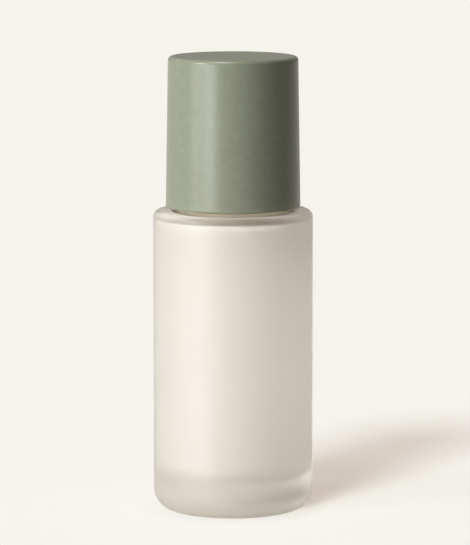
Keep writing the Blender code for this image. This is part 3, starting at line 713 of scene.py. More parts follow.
@dataclass
class GlassBottle:
    """Thick-walled glass bottle with a threaded neck, coated inside.

    A ring of painted shade, a dark brown coat, lies under the inside corner of the shoulder, over the last
    pieces of the corner's arc and inwards along the ceiling. Seen through the glass, it is the dark band
    below the shoulder's edge. Inwards of it the coat on the ceiling is tinted darker and warmer: painted
    khaki shade under the overcap.
    """

    side_wall: float = 0.0034
    base_wall: float = 0.0085
    shoulder_height: float = 0.07585
    shoulder_wall: float = 0.0021
    heel_radius: float = 0.0052
    shoulder_radius: float = 0.0017
    inner_heel_radius: float = 0.0045
    inner_shoulder_radius: float = 0.002
    bearing_width: float = 0.0022
    push_up_depth: float = 0.0012
    push_up_points: int = 12
    neck_bore: float = 0.007
    neck_radius: float = 0.01065
    neck_fillet: float = 0.0012
    bore_fillet: float = 0.0012
    lip_radius: float = 0.0008
    thread: Thread = Thread(start=0.0822, turns=2.4, depth=0.00115)
    thread_step: float = 0.0002
    shade_ring_steps: int = 6
    shade_ring_inner_radius: float = 0.0139

    def relief(self, angles: np.ndarray, radii: np.ndarray, heights: np.ndarray) -> Moved:
        """Raises the thread on the neck's outside."""
        on_neck = np.abs(radii - self.neck_radius) < TINY
        return radii + np.where(on_neck, self.thread.rise(angles, heights), 0), heights

    def outline(self) -> tuple[np.ndarray, np.ndarray]:
        """Works out the glass's outline.

        Returns:
            Rows of radius and height from the inside of the floor round to the push-up, and the material
            slot of each stretch between two of them.
        """
        outer = extent("bottle")
        inner = outer.radius - self.side_wall
        floor = outer.foot + self.base_wall
        ceiling = self.shoulder_height - self.shoulder_wall
        lip = outer.top - self.lip_radius
        inner_heel = (inner - self.inner_heel_radius, floor + self.inner_heel_radius)
        inner_shoulder = (inner - self.inner_shoulder_radius, ceiling - self.inner_shoulder_radius)
        rise = arc(inner_shoulder, self.inner_shoulder_radius, 0, 90, steps=24)
        bore_corner = (self.neck_bore + self.bore_fillet, ceiling + self.bore_fillet)
        neck_foot = self.shoulder_height + self.neck_fillet
        rows = np.linspace(lip, neck_foot, int((lip - neck_foot) / self.thread_step))[1:-1]
        neck_corner = (self.neck_radius + self.neck_fillet, neck_foot)
        shoulder = (outer.radius - self.shoulder_radius, self.shoulder_height - self.shoulder_radius)
        heel = (outer.radius - self.heel_radius, outer.foot + self.heel_radius)
        ring = outer.radius - self.heel_radius - self.bearing_width
        share = np.linspace(1, 0, self.push_up_points)
        push_up = np.column_stack([ring * share, outer.foot + self.push_up_depth * (1 - share**2)])
        stretches = [
            (COATED, [(0, floor)]),
            (COATED, arc(inner_heel, self.inner_heel_radius, -90, 0)),
            (COATED, rise[: -self.shade_ring_steps - 1]),
            # painted shade: a dark brown ring under the shoulder's inside corner, seen through the glass as
            # the dark band
            (PAINTED_SHADE_RING, rise[-self.shade_ring_steps - 1 :]),
            # painted shade: the inner lacquer carried onto the ceiling, tinted darker and warmer for the
            # khaki shade under the overcap
            (PAINTED_SHADE_CEILING, [(self.shade_ring_inner_radius, ceiling)]),
            (CLEAR, arc(bore_corner, self.bore_fillet, -90, -180, steps=6)),
            (CLEAR, arc((self.neck_bore + self.lip_radius, lip), self.lip_radius, 180, 90, steps=6)),
            (CLEAR, arc((self.neck_radius - self.lip_radius, lip), self.lip_radius, 90, 0, steps=6)),
            (ETCHED, np.column_stack([np.full(len(rows), self.neck_radius), rows])),
            (ETCHED, arc(neck_corner, self.neck_fillet, 180, 270, steps=8)),
            (ETCHED, arc(shoulder, self.shoulder_radius, 90, 0, steps=16)),
            (ETCHED, arc(heel, self.heel_radius, 0, -90, steps=24)),
            (ETCHED, push_up),
        ]
        marks = np.repeat([slot for slot, _ in stretches], [len(points) for _, points in stretches])[:-1]
        return np.concatenate([points for _, points in stretches]), marks

    def build(self) -> list[Object]:
        """Builds and dresses the bottle.

        Returns:
            The glass alone.
        """
        outline, marks = self.outline()
        clear = FrostedGlass("clear_soda_lime_glass", roughness=0.02, milk_share=0.0, foot_milk_share=0.0)
        # the ceiling's coat: the inner lacquer tinted darker and warmer, as painted shade under the overcap
        shaded_ceiling = InnerCoat("painted_shade_ceiling_lacquer", "#e4dbc4", "#e0d7c0", "#ece4d0")
        # the ring's coat: dark brown, as painted shade under the shoulder's inside corner
        ring = InnerCoat("painted_shade_inner_ring", "#675b43", "#63573f", "#6b5f47")
        materials = [finish.material() for finish in (FrostedGlass(), InnerCoat(), shaded_ceiling, ring, clear)]
        glass = turned("glass_bottle", outline, materials, relief=self.relief, marks=marks)
        return [settle(glass, "bottle", "bottle")]


@dataclass
class Overcap:
    """Two-piece overcap: a lacquered outer shell over a plain liner."""

    taper: float = 0.00058
    top_edge: float = 0.0011
    top_ring_share: float = 0.45
    foot_edge: float = 0.0005
    bore: float = 0.01535
    step: float = 0.0005
    step_height: float = 0.0986
    draft: float = 0.0002
    inner_edge: float = 0.0008
    top_wall: float = 0.0017
    rib_count: int = 12
    rib_depth: float = 0.00035
    rib_width: float = 0.0012
    rib_slope: float = 0.00015
    liner_wall: float = 0.00075
    liner_lead_in: float = 0.00025
    liner_edge: float = 0.0002
    fine_edge: float = 0.0001
    ledge_radius: float = 0.01295
    ledge_thickness: float = 0.001

    def shell(self) -> Object:
        """Builds the outer shell, which narrows a little to its top.

        Returns:
            The settled piece.
        """
        outer = extent("overcap_shell")
        top_radius = outer.radius - self.taper
        ceiling = outer.top - self.top_wall
        step_radius = self.bore - self.step
        top_corner = (top_radius - self.top_edge, outer.top - self.top_edge)
        foot_corner = (outer.radius - self.foot_edge, outer.foot + self.foot_edge)
        inner_corner = (step_radius - self.draft - self.inner_edge, ceiling - self.inner_edge)
        stretches = [
            [(0, outer.top), (self.top_ring_share * top_radius, outer.top)],
            arc(top_corner, self.top_edge, 90, 0, steps=16),
            arc(foot_corner, self.foot_edge, 0, -90, steps=6),
            [(self.bore, outer.foot), (self.bore, self.step_height), (step_radius, self.step_height)],
            arc(inner_corner, self.inner_edge, 0, 90, steps=6),
            [(0, ceiling)],
        ]
        outline = np.concatenate(stretches)
        piece = turned("overcap_outer", outline, [SOFT_TOUCH_LACQUER.material()], SMOOTH_STEPS)
        return settle(piece, "overcap_shell", "overcap")

    def liner(self) -> Object:
        """Builds the liner: a tube with ribs that grip the collar's sleeve and a ledge that rests on its top.

        Returns:
            The settled piece.
        """
        outer = extent("overcap_liner")
        bore = outer.radius - self.liner_wall
        ledge_foot = outer.top - self.ledge_thickness
        corners = [
            (outer.radius, outer.top),
            (outer.radius, outer.foot),
            (bore + self.liner_lead_in, outer.foot, self.fine_edge),
            (bore, outer.foot + self.liner_lead_in, self.fine_edge),
            (bore, outer.foot + 2 * self.liner_lead_in, 0),
            (bore, outer.foot + 3 * self.liner_lead_in, 0),
            (bore, ledge_foot),
            (self.ledge_radius, ledge_foot, self.fine_edge),
            (self.ledge_radius, outer.top, self.fine_edge),
        ]

        def ribs(angles: np.ndarray, radii: np.ndarray, heights: np.ndarray) -> Moved:
            """Raises flat-topped ribs, by each point's distance from the middle of the nearest rib.

            Args:
                angles: of each point, in radians.
                radii: of each point.
                heights: of each point.

            Returns:
                The new radii and the same heights.
            """
            part = FULL_TURN / self.rib_count
            away = np.abs(angles - part * np.round(angles / part)) * radii
            share = np.clip((self.rib_width / 2 - away) / self.rib_slope, 0, 1)
            start = outer.foot + 2 * self.liner_lead_in + TINY
            on_wall = (np.abs(radii - bore) < TINY) & (heights > start)
            return radii - np.where(on_wall, self.rib_depth * share, 0), heights

        outline = rounded(corners, self.liner_edge)
        materials = [NATURAL_POLYPROPYLENE.material()]
        piece = turned("overcap_inner_sleeve", outline, materials, RIBBED_STEPS, ribs)
        return settle(piece, "overcap_liner", "overcap")

    def build(self) -> list[Object]:
        """Builds and dresses the overcap."""
        return [self.shell(), self.liner()]


@dataclass
class ScrewClosure:
    """Threaded collar with its grip ribs, and the drawn metal sleeve pressed over it."""

    wall: float = 0.0012
    deck: float = 0.0012
    outer_radius: float = 0.01325
    hole_radius: float = 0.00695
    grip_count: int = 24
    grip_radius: float = 0.00045
    grip_depth: float = 0.0003
    edge: float = 0.0002
    thread: Thread = Thread(start=0.0822 - SCREW_PITCH / 2, turns=2.6, depth=0.00105)
    thread_step: float = 0.0002
    sleeve_wall: float = 0.0004
    sleeve_edge: float = 0.0008
    sleeve_mouth: float = 0.0105
    sleeve_lip: float = 0.00015

    def relief(self, angles: np.ndarray, radii: np.ndarray, heights: np.ndarray) -> Moved:
        """Raises half-round grip ribs outside and the thread inside.

        A grip rib is a circle whose centre lies at a radius c: at an angle a from it the rib's surface is at
        c cos(a) + sqrt(r^2 - c^2 sin(a)^2), with its own radius r.

        Args:
            angles: of each point, in radians.
            radii: of each point.
            heights: of each point.

        Returns:
            The new radii and the same heights.
        """
        span = extent("screw_collar")
        part = FULL_TURN / self.grip_count
        away = angles - part * np.round(angles / part)
        centre = self.outer_radius + self.grip_depth - self.grip_radius
        inside = np.maximum(self.grip_radius**2 - (centre * np.sin(away)) ** 2, 0)
        rib = np.where(inside > 0, centre * np.cos(away) + np.sqrt(inside), 0)
        outside = np.abs(radii - self.outer_radius) < TINY
        outside &= (heights > span.foot + 2 * self.grip_radius) & (heights < span.top - self.deck + TINY)
        threaded = np.abs(radii - (self.outer_radius - self.wall)) < TINY
        ridge = np.where(threaded, self.thread.rise(angles, heights), 0)
        return np.where(outside, np.maximum(radii, rib), radii) - ridge, heights

    def collar(self) -> Object:
        """Builds the collar.

        Returns:
            The settled piece.
        """
        span = extent("screw_collar")
        bore = self.outer_radius - self.wall
        ceiling = span.top - self.deck
        rib_foot = span.foot + 2 * self.grip_radius
        rows = np.linspace(span.foot, ceiling, int((ceiling - span.foot) / self.thread_step))[2:-2]
        corners = [
            (self.outer_radius, span.top),
            (self.outer_radius, ceiling + self.edge, 0),
            (self.outer_radius, ceiling, 0),
            (self.outer_radius, rib_foot + self.edge, 0),
            (self.outer_radius, rib_foot, 0),
            (self.outer_radius, span.foot),
            (bore, span.foot),
            *((bore, float(row), 0) for row in rows),
            (bore, ceiling),
            (self.hole_radius, ceiling),
            (self.hole_radius, span.top),
        ]
        outline = rounded(corners, self.edge)
        piece = turned("threaded_collar", outline, [MOULDED_SAGE.material()], RIBBED_STEPS, self.relief)
        return settle(piece, "screw_collar", "collar")

    def sleeve(self) -> Object:
        """Builds the sleeve, with its rounded top edge and its lip turned in round the pump head.

        Returns:
            The settled piece.
        """
        span = extent("collar_sleeve")
        inner = span.radius - self.sleeve_wall
        edge_centre = (span.radius - self.sleeve_edge, span.top - self.sleeve_edge)
        lip_foot = span.top - self.sleeve_wall
        foot = [
            (span.radius, span.foot + self.sleeve_edge, 0),
            (span.radius, span.foot),
            (inner, span.foot),
            (inner, span.foot + self.sleeve_edge, 0),
        ]
        mouth = [
            (edge_centre[0], lip_foot, 0),
            (self.sleeve_mouth, lip_foot),
            (self.sleeve_mouth, span.top),
            (edge_centre[0], span.top, 0),
        ]
        stretches = [
            arc(edge_centre, self.sleeve_edge, 90, 0),
            rounded(foot, self.sleeve_lip, closed=False),
            arc(edge_centre, self.sleeve_edge - self.sleeve_wall, 0, 90, steps=8),
            rounded(mouth, self.sleeve_lip, closed=False)[1:-1],
        ]
        outline = distinct(np.concatenate(stretches))
        piece = turned("metal_sleeve", outline, [SATIN_ALUMINIUM.material()], SMOOTH_STEPS)
        return settle(piece, "collar_sleeve", "collar")

    def build(self) -> list[Object]:
        """Builds and dresses the closure."""
        return [self.collar(), self.sleeve()]


@dataclass
class PumpHead:
    """Head that the finger presses: a cup with a socket and a spout, under an outer cover."""

    skirt_wall: float = 0.001
    deck: float = 0.0014
    socket_foot: float = 0.1043
    socket_radius: float = 0.0035
    socket_bore: float = 0.0023
    socket_top: float = 0.1082
    riser_radius: float = 0.0011
    channel_height: float = 0.1091
    channel_radius: float = 0.0009
    spout_radius: float = 0.0016
    spout_taper: float = 0.0002
    spout_edge: float = 0.0003
    rib_count: int = 4
    rib_foot: float = 0.1072
    rib_width: float = 0.0008
    edge: float = 0.0002
    cover_bore: float = 0.0094
    cover_top_wall: float = 0.0012
    cover_edge: float = 0.0006
    dish_depth: float = 0.0005
    dish_points: int = 24
    slot_clearance: float = 0.0002
    overrun: float = 0.001

    def forwards(self, shape: Object, start: float) -> Object:
        """Lays a bar made along +Z along the spout's middle line, from a distance before the axis.

        Args:
            shape: the bar.
            start: how far before the axis it starts.

        Returns:
            The same bar.
        """
        place = Matrix.Translation((0, -start, self.channel_height)) @ Matrix.Rotation(math.pi / 2, 4, "X")
        shape.data.transform(place)
        return shape

    def actuator(self) -> Object:
        """Builds the cup, then joins its ribs and its spout on and bores the spout's channel.

        Returns:
            The settled piece.
        """
        span = extent("actuator")
        reach = -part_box("actuator")[0].y
        bore = span.radius - self.skirt_wall
        deck_foot = span.top - self.deck
        riser_top = self.channel_height + self.channel_radius + self.slot_clearance / 2
        corners = [
            (0, span.top, 0),
            (span.radius, span.top),
            (span.radius, span.foot),
            (bore, span.foot),
            (bore, deck_foot),
            (self.socket_radius, deck_foot),
            (self.socket_radius, self.socket_foot),
            (self.socket_bore, self.socket_foot),
            (self.socket_bore, self.socket_top, 0),
            (self.riser_radius, self.socket_top, 0),
            (self.riser_radius, riser_top, 0),
            (0, riser_top, 0),
        ]
        outline = rounded(corners, self.edge, closed=False)
        piece = turned("pump_actuator", outline, [MOULDED_SAGE.material()])
        inner = (self.socket_bore + self.socket_radius) / 2
        outer = bore + self.skirt_wall / 2
        half_width = self.rib_width / 2
        rib_top = span.top - self.deck / 2
        for part in range(self.rib_count):
            rib = box((inner, -half_width, self.rib_foot), (outer, half_width, rib_top))
            rib.data.transform(Matrix.Rotation((part + 0.5) * FULL_TURN / self.rib_count, 4, "Z"))
            carve(piece, rib, "UNION")
        tip_radius = self.spout_radius - self.spout_taper
        spout = rod(self.spout_radius, tip_radius, reach - inner, self.spout_edge, SMALL_STEPS)
        carve(piece, self.forwards(spout, inner), "UNION")
        channel = rod(self.channel_radius, self.channel_radius, reach + self.overrun)
        carve(piece, self.forwards(channel, 0), "DIFFERENCE")
        return settle(piece, "actuator", "head")

    def cover(self) -> Object:
        """Builds the cover: a shallow dish on top (a parabola), and a slot that drops over the spout.

        Returns:
            The settled piece.
        """
        span = extent("actuator_cover")
        dish_radius = span.radius - self.cover_edge
        ceiling = span.top - self.cover_top_wall
        share = np.linspace(0, 1, self.dish_points)
        dish = np.column_stack([dish_radius * share, span.top - self.dish_depth * (1 - share**2)])
        edge = arc((dish_radius, span.top - self.cover_edge), self.cover_edge, 90, 0, steps=8)
        corners = [
            (span.radius, span.top - 2 * self.cover_edge, 0),
            (span.radius, span.foot),
            (self.cover_bore, span.foot),
            (self.cover_bore, ceiling),
            (0, ceiling, 0),
        ]
        inside = rounded(corners, self.edge, closed=False)
        outline = distinct(np.concatenate([dish, edge, inside]))
        piece = turned("finger_cover", outline, [MOULDED_SAGE.material()])
        half_width = self.spout_radius + self.slot_clearance
        reach = span.radius + self.overrun
        carve(piece, self.forwards(rod(half_width, half_width, reach), 0), "DIFFERENCE")
        low = (-half_width, -reach, span.foot - self.overrun)
        carve(piece, box(low, (half_width, 0, self.channel_height)), "DIFFERENCE")
        return settle(piece, "actuator_cover", "head")

    def build(self) -> list[Object]:
        """Builds and dresses the head."""
        return [self.actuator(), self.cover()]


@dataclass
class Pump:
    """Treatment pump: housing, guide, stem, plug, piston, spring, ball, gasket and dip tube."""

    edge: float = 0.00012
    fine_edge: float = 0.00006
    flange_foot: float = 0.094
    cup_radius: float = 0.00665
    cup_bore: float = 0.00565
    cup_floor: float = 0.086
    cylinder_radius: float = 0.0052
    cylinder_bore: float = 0.0042
    spring_seat: float = 0.0632
    cage_lip: float = 0.0008
    cage_lip_radius: float = 0.00145
    cage_radius: float = 0.002
    cage_wall: float = 0.0012
    cone_foot: float = 0.05878
    inlet_radius: float = 0.0008
    tube_seat: float = 0.05738
    tail_radius: float = 0.003
    tail_bore: float = 0.0021
    vent_height: float = 0.0804
    vent_radius: float = 0.0004
    guide_neck: float = 0.0068
    guide_body: float = 0.00555
    guide_body_foot: float = 0.0862
    guide_wall: float = 0.0009
    guide_floor: float = 0.001
    guide_nose: float = 0.00405
    catch_foot: float = 0.0968
    deck_foot: float = 0.0954
    guide_tube_top: float = 0.0994
    guide_tube_radius: float = 0.00335
    guide_tube_bore: float = 0.00235
    guide_pocket_radius: float = 0.00315
    guide_pocket_top: float = 0.0858
    stem_radius: float = 0.0022
    stem_bore: float = 0.0011
    stem_shoulder_foot: float = 0.0844
    stem_shoulder_top: float = 0.0856
    port_height: float = 0.0806
    port_radius: float = 0.0005
    plug_flange_foot: float = 0.076
    plug_flange_top: float = 0.0772
    plug_shank: float = 0.001
    plug_pin: float = 0.0019
    plug_chamfer: float = 0.0006
    piston_waist: float = 0.00355
    piston_groove: float = 0.0036
    piston_hub: float = 0.00305
    piston_relief: float = 0.0026
    piston_seal: float = 0.00235
    piston_lip: float = 0.0009
    piston_slope: float = 0.0006
    piston_groove_depth: float = 0.0014
    piston_relief_depth: float = 0.0042
    wire_radius: float = 0.0003
    wire_sides: int = 16
    spring_turns: int = 8
    spring_turn_steps: int = 48
    spring_ease: float = 0.25
    spring_press: float = 0.0045
    gasket_bore: float = 0.0071
    tube_wall: float = 0.0006
    tube_slant: float = 0.0024
    overrun: float = 0.001

    def moulded(
        self,
        name: str,
        corners: Sequence[tuple[float, ...]],
        finish: Finish = NATURAL_POLYPROPYLENE,
        steps: int = SMALL_STEPS,
        relief: Relief | None = None,
    ) -> Object:
        """Turns a piece of the pump from its corners, rounded by `edge` where they name no rounding.

        Args:
            name: the piece's name.
            corners: rows of radius, height and any rounding. They start on the axis where the piece is solid.
            finish: what it is made of.
            steps: how many columns go round.
            relief: gives new radii and heights, as `turned` takes it.

        Returns:
            The new object.
        """
        outline = rounded(corners, self.edge, closed=corners[0][0] > 0)
        return turned(name, outline, [finish.material()], steps, relief)

    def crosswise(self, radius: float, start: float, length: float, height: float) -> Object:
        """Makes a cutter for a small hole along +X.

        Args:
            radius: the hole's radius.
            start: where along X it starts.
            length: how long it is.
            height: how high it lies.

        Returns:
            The cutter.
        """
        cutter = rod(radius, radius, length, steps=HOLE_STEPS)
        cutter.data.transform(Matrix.Translation((start, 0, height)) @ Matrix.Rotation(math.pi / 2, 4, "Y"))
        return cutter

    def housing(self) -> Object:
        """Builds the housing: flange, cup, cylinder, ball cage and tail in one moulding, with a vent.

        Returns:
            The settled piece.
        """
        span = extent("pump_housing")
        cage_outer = self.cage_radius + self.cage_wall
        lip_foot = self.spring_seat - self.cage_lip
        cup_step = self.cup_floor - (self.cup_radius - self.cup_bore)
        cone_top = self.cone_foot + self.cage_radius - self.inlet_radius
        wide, fine = 3 * self.edge, self.fine_edge
        corners = [
            (span.radius, span.top),
            (span.radius, self.flange_foot),
            (self.cup_radius, self.flange_foot),
            (self.cup_radius, cup_step, wide),
            (self.cylinder_radius, cup_step, wide),
            (self.cylinder_radius, lip_foot, wide),
            (cage_outer, lip_foot - (self.cylinder_radius - cage_outer), wide),
            (cage_outer, self.cone_foot),
            (self.tail_radius, self.tube_seat),
            (self.tail_radius, span.foot, 2 * self.edge),
            (self.tail_bore, span.foot, 2 * self.edge),
            (self.tail_bore, self.tube_seat, fine),
            (self.inlet_radius, self.tube_seat, fine),
            (self.inlet_radius, self.cone_foot, fine),
            (self.cage_radius, cone_top, fine),
            (self.cage_radius, lip_foot, fine),
            (self.cage_lip_radius, lip_foot, fine),
            (self.cage_lip_radius, self.spring_seat, fine),
            (self.cylinder_bore, self.spring_seat),
            (self.cylinder_bore, self.cup_floor),
            (self.cup_bore, self.cup_floor),
            (self.cup_bore, span.top),
        ]
        piece = self.moulded("pump_body", corners)
        vent = self.crosswise(self.vent_radius, 0, self.cylinder_radius + self.overrun, self.vent_height)
        carve(piece, vent, "DIFFERENCE")
        return settle(piece, "pump_housing", "pump_core")

    def guide(self) -> Object:
        """Builds the guide: tower with its catch, neck in the collar's hole, nose and tube round the stem.

        Returns:
            The settled piece.
        """
        span = extent("stem_guide")
        pocket_floor = self.guide_body_foot + self.guide_floor
        floor_top = self.catch_foot + self.guide_floor
        inner = self.guide_body - self.guide_wall
        tower_bore = span.radius - self.guide_wall
        corners = [
            (span.radius, span.top),
            (span.radius, self.catch_foot),
            (self.guide_neck, self.catch_foot),
            (self.guide_neck, self.deck_foot),
            (self.guide_body, self.deck_foot),
            (self.guide_body, self.guide_body_foot),
            (self.guide_nose, self.guide_body_foot),
            (self.guide_nose, span.foot),
            (self.guide_pocket_radius, span.foot),
            (self.guide_pocket_radius, self.guide_pocket_top),
            (self.guide_tube_bore, self.guide_pocket_top),
            (self.guide_tube_bore, self.guide_tube_top),
            (self.guide_tube_radius, self.guide_tube_top),
            (self.guide_tube_radius, pocket_floor),
            (inner, pocket_floor),
            (inner, floor_top),
            (tower_bore, floor_top),
            (tower_bore, span.top),
        ]
        piece = self.moulded("pump_guide", corners)
        return settle(piece, "stem_guide", "pump_core")

    def stem(self) -> Object:
        """Builds the hollow stem with its shoulder, and bores the two ports across its foot.

        Returns:
            The settled piece.
        """
        span = extent("stem")
        corners = [
            (self.stem_radius, span.top),
            (self.stem_radius, self.stem_shoulder_top, self.fine_edge),
            (span.radius, self.stem_shoulder_top),
            (span.radius, self.stem_shoulder_foot),
            (self.stem_radius, self.stem_shoulder_foot, self.fine_edge),
            (self.stem_radius, span.foot),
            (self.stem_bore, span.foot),
            (self.stem_bore, span.top),
        ]
        piece = self.moulded("hollow_stem", corners)
        reach = self.stem_radius + self.overrun
        carve(piece, self.crosswise(self.port_radius, -reach, 2 * reach, self.port_height), "DIFFERENCE")
        return settle(piece, "stem", "stem")

    def plug(self) -> Object:
        """Builds the plug: a shank in the stem, the flange that seals the piston and a pin in the spring.

        Returns:
            The settled piece.
        """
        span = extent("valve_plug")
        corners = [
            (0, span.top, 0),
            (self.plug_shank, span.top),
            (self.plug_shank, self.plug_flange_top, self.fine_edge),
            (span.radius, self.plug_flange_top),
            (span.radius, self.plug_flange_foot),
            (self.plug_pin, self.plug_flange_foot),
            (self.plug_pin, span.foot + self.plug_chamfer),
            (self.plug_pin - self.plug_chamfer, span.foot),
            (0, span.foot, 0),
        ]
        return settle(self.moulded("stem_plug", corners), "valve_plug", "stem")

    def piston(self) -> Object:
        """Builds the piston: a lip at each end, a waist between them and a relieved bore.

        Returns:
            The settled piece.
        """
        span = extent("piston")
        groove_top = span.foot + self.piston_groove_depth
        relief_top = span.foot + self.piston_relief_depth
        corners = [
            (span.radius, span.top),
            (span.radius, span.top - self.piston_lip),
            (self.piston_waist, span.top - self.piston_lip - self.piston_slope),
            (self.piston_waist, groove_top + self.piston_slope),
            (span.radius, span.foot + self.piston_lip),
            (span.radius, span.foot),
            (self.piston_groove, span.foot),
            (self.piston_groove - self.edge * 2, groove_top, self.fine_edge),
            (self.piston_hub, groove_top, self.fine_edge),
            (self.piston_hub, span.foot),
            (self.piston_relief, span.foot),
            (self.piston_relief, relief_top, self.fine_edge),
            (self.piston_seal, relief_top, self.fine_edge),
            (self.piston_seal, span.top),
        ]
        piece = self.moulded("lip_piston", corners, SEAL_POLYETHYLENE)
        return settle(piece, "piston", "piston")

    def spring(self) -> Object:
        """Builds the spring, whose height eases in and out so that its end turns lie closer together.

        At a share s of its length the wire's angle is s times all the turns, and its height share is
        s - ease x sin(full turn x s) / full turn.

        Returns:
            The settled piece, which is squashed as the head goes down.
        """
        span = extent("pump_spring")
        share = np.linspace(0, 1, self.spring_turn_steps * self.spring_turns + 1)
        angles = FULL_TURN * self.spring_turns * share
        eased = share - self.spring_ease * np.sin(FULL_TURN * share) / FULL_TURN
        radius = span.radius - self.wire_radius
        rise = span.top - span.foot - 2 * self.wire_radius
        heights = span.foot + self.wire_radius + rise * eased
        path = np.column_stack([radius * np.cos(angles), radius * np.sin(angles), heights])
        piece = tube("return_spring", path, self.wire_radius, STAINLESS_STEEL.material(), self.wire_sides)
        settle(piece, "pump_spring", "pump_core")
        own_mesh(piece)
        return piece

    def ball(self) -> Object:
        """Builds the ball: a half circle turned about its own axis.

        Returns:
            The settled piece.
        """
        span = extent("ball_valve")
        outline = arc((0, (span.foot + span.top) / 2), span.radius, 90, -90, steps=32)
        outline[[0, -1], 0] = 0
        piece = turned("inlet_ball", outline, [STAINLESS_STEEL.material()], steps=64)
        return settle(piece, "ball_valve", "ball")

    def gasket(self) -> Object:
        """Builds the washer between the glass lip and the housing's flange.

        Returns:
            The settled piece.
        """
        span = extent("neck_gasket")
        corners = [
            (span.radius, span.top),
            (span.radius, span.foot),
            (self.gasket_bore, span.foot),
            (self.gasket_bore, span.top),
        ]
        piece = self.moulded("foam_gasket", corners, FOAMED_POLYETHYLENE, ROUND_STEPS)
        return settle(piece, "neck_gasket", "pump_core")

    def dip_tube(self) -> Object:
        """Builds the tube, whose foot ring is raised in step with Y, as a slanted cut leaves it.

        Returns:
            The settled piece.
        """
        span = extent("dip_tube")
        bore = span.radius - self.tube_wall
        straight = span.foot + 2 * self.tube_slant
        corners = [
            (span.radius, span.top, self.fine_edge),
            (span.radius, straight, 0),
            (span.radius, span.foot, self.fine_edge),
            (bore, span.foot, self.fine_edge),
            (bore, straight, 0),
            (bore, span.top, self.fine_edge),
        ]

        def slanted(angles: np.ndarray, radii: np.ndarray, heights: np.ndarray) -> Moved:
            """Adds slant x (1 + y / radius) / 2 to what lies below the straight part."""
            lift = self.tube_slant * (1 + radii * np.sin(angles) / span.radius) / 2
            return radii, heights + np.where(heights < straight - TINY, lift, 0)

        piece = self.moulded("suction_tube", corners, EXTRUDED_TUBE, relief=slanted)
        return settle(piece, "dip_tube", "pump_core")

    def build(self) -> list[Object]:
        """Builds and dresses the pump.

        Returns:
            Its pieces, from the housing to the dip tube.
        """
        parts = (self.housing, self.guide, self.stem, self.plug, self.piston, self.spring)
        return [part() for part in (*parts, self.ball, self.gasket, self.dip_tube)]


@dataclass(frozen=True)
class Lamp:
    """A distant lamp, with its angles in degrees. Its azimuth is to the right of the camera.

    A lamp with `floor_only` lights nothing but the floor. One with `past_floor` stands below the horizon,
    where a pale table throws light back, and the floor doesn't stop its light.
    """

    name: str
    azimuth: float
    elevation: float
    strength: float
    width: float
    floor_only: bool = False
    past_floor: bool = False

    def build(self, floor: Object) -> None:
        """Adds the lamp to the scene, turned so that it shines from its azimuth and elevation.

        Args:
            floor: the floor, which `floor_only` and `past_floor` are about.
        """
        data = bpy.data.lights.new(self.name, "SUN")
        data.energy = self.strength
        data.angle = math.radians(self.width)
        lamp = bpy.data.objects.new(self.name, data)
        azimuth, elevation = math.radians(self.azimuth), math.radians(self.elevation)
        level = math.cos(elevation)
        towards = Vector((math.sin(azimuth) * level, -math.cos(azimuth) * level, math.sin(elevation)))
        lamp.rotation_euler = towards.to_track_quat("Z", "Y").to_euler()
        bpy.context.scene.collection.objects.link(lamp)
        if self.floor_only:
            receivers = bpy.data.collections.new(self.name + "_receivers")
            receivers.objects.link(floor)
            lamp.light_linking.receiver_collection = receivers
        if self.past_floor:
            blockers = bpy.data.collections.new(self.name + "_blockers")
            blockers.objects.link(floor)
            blockers.collection_objects[0].light_linking.link_state = "EXCLUDE"
            lamp.light_linking.blocker_collection = blockers


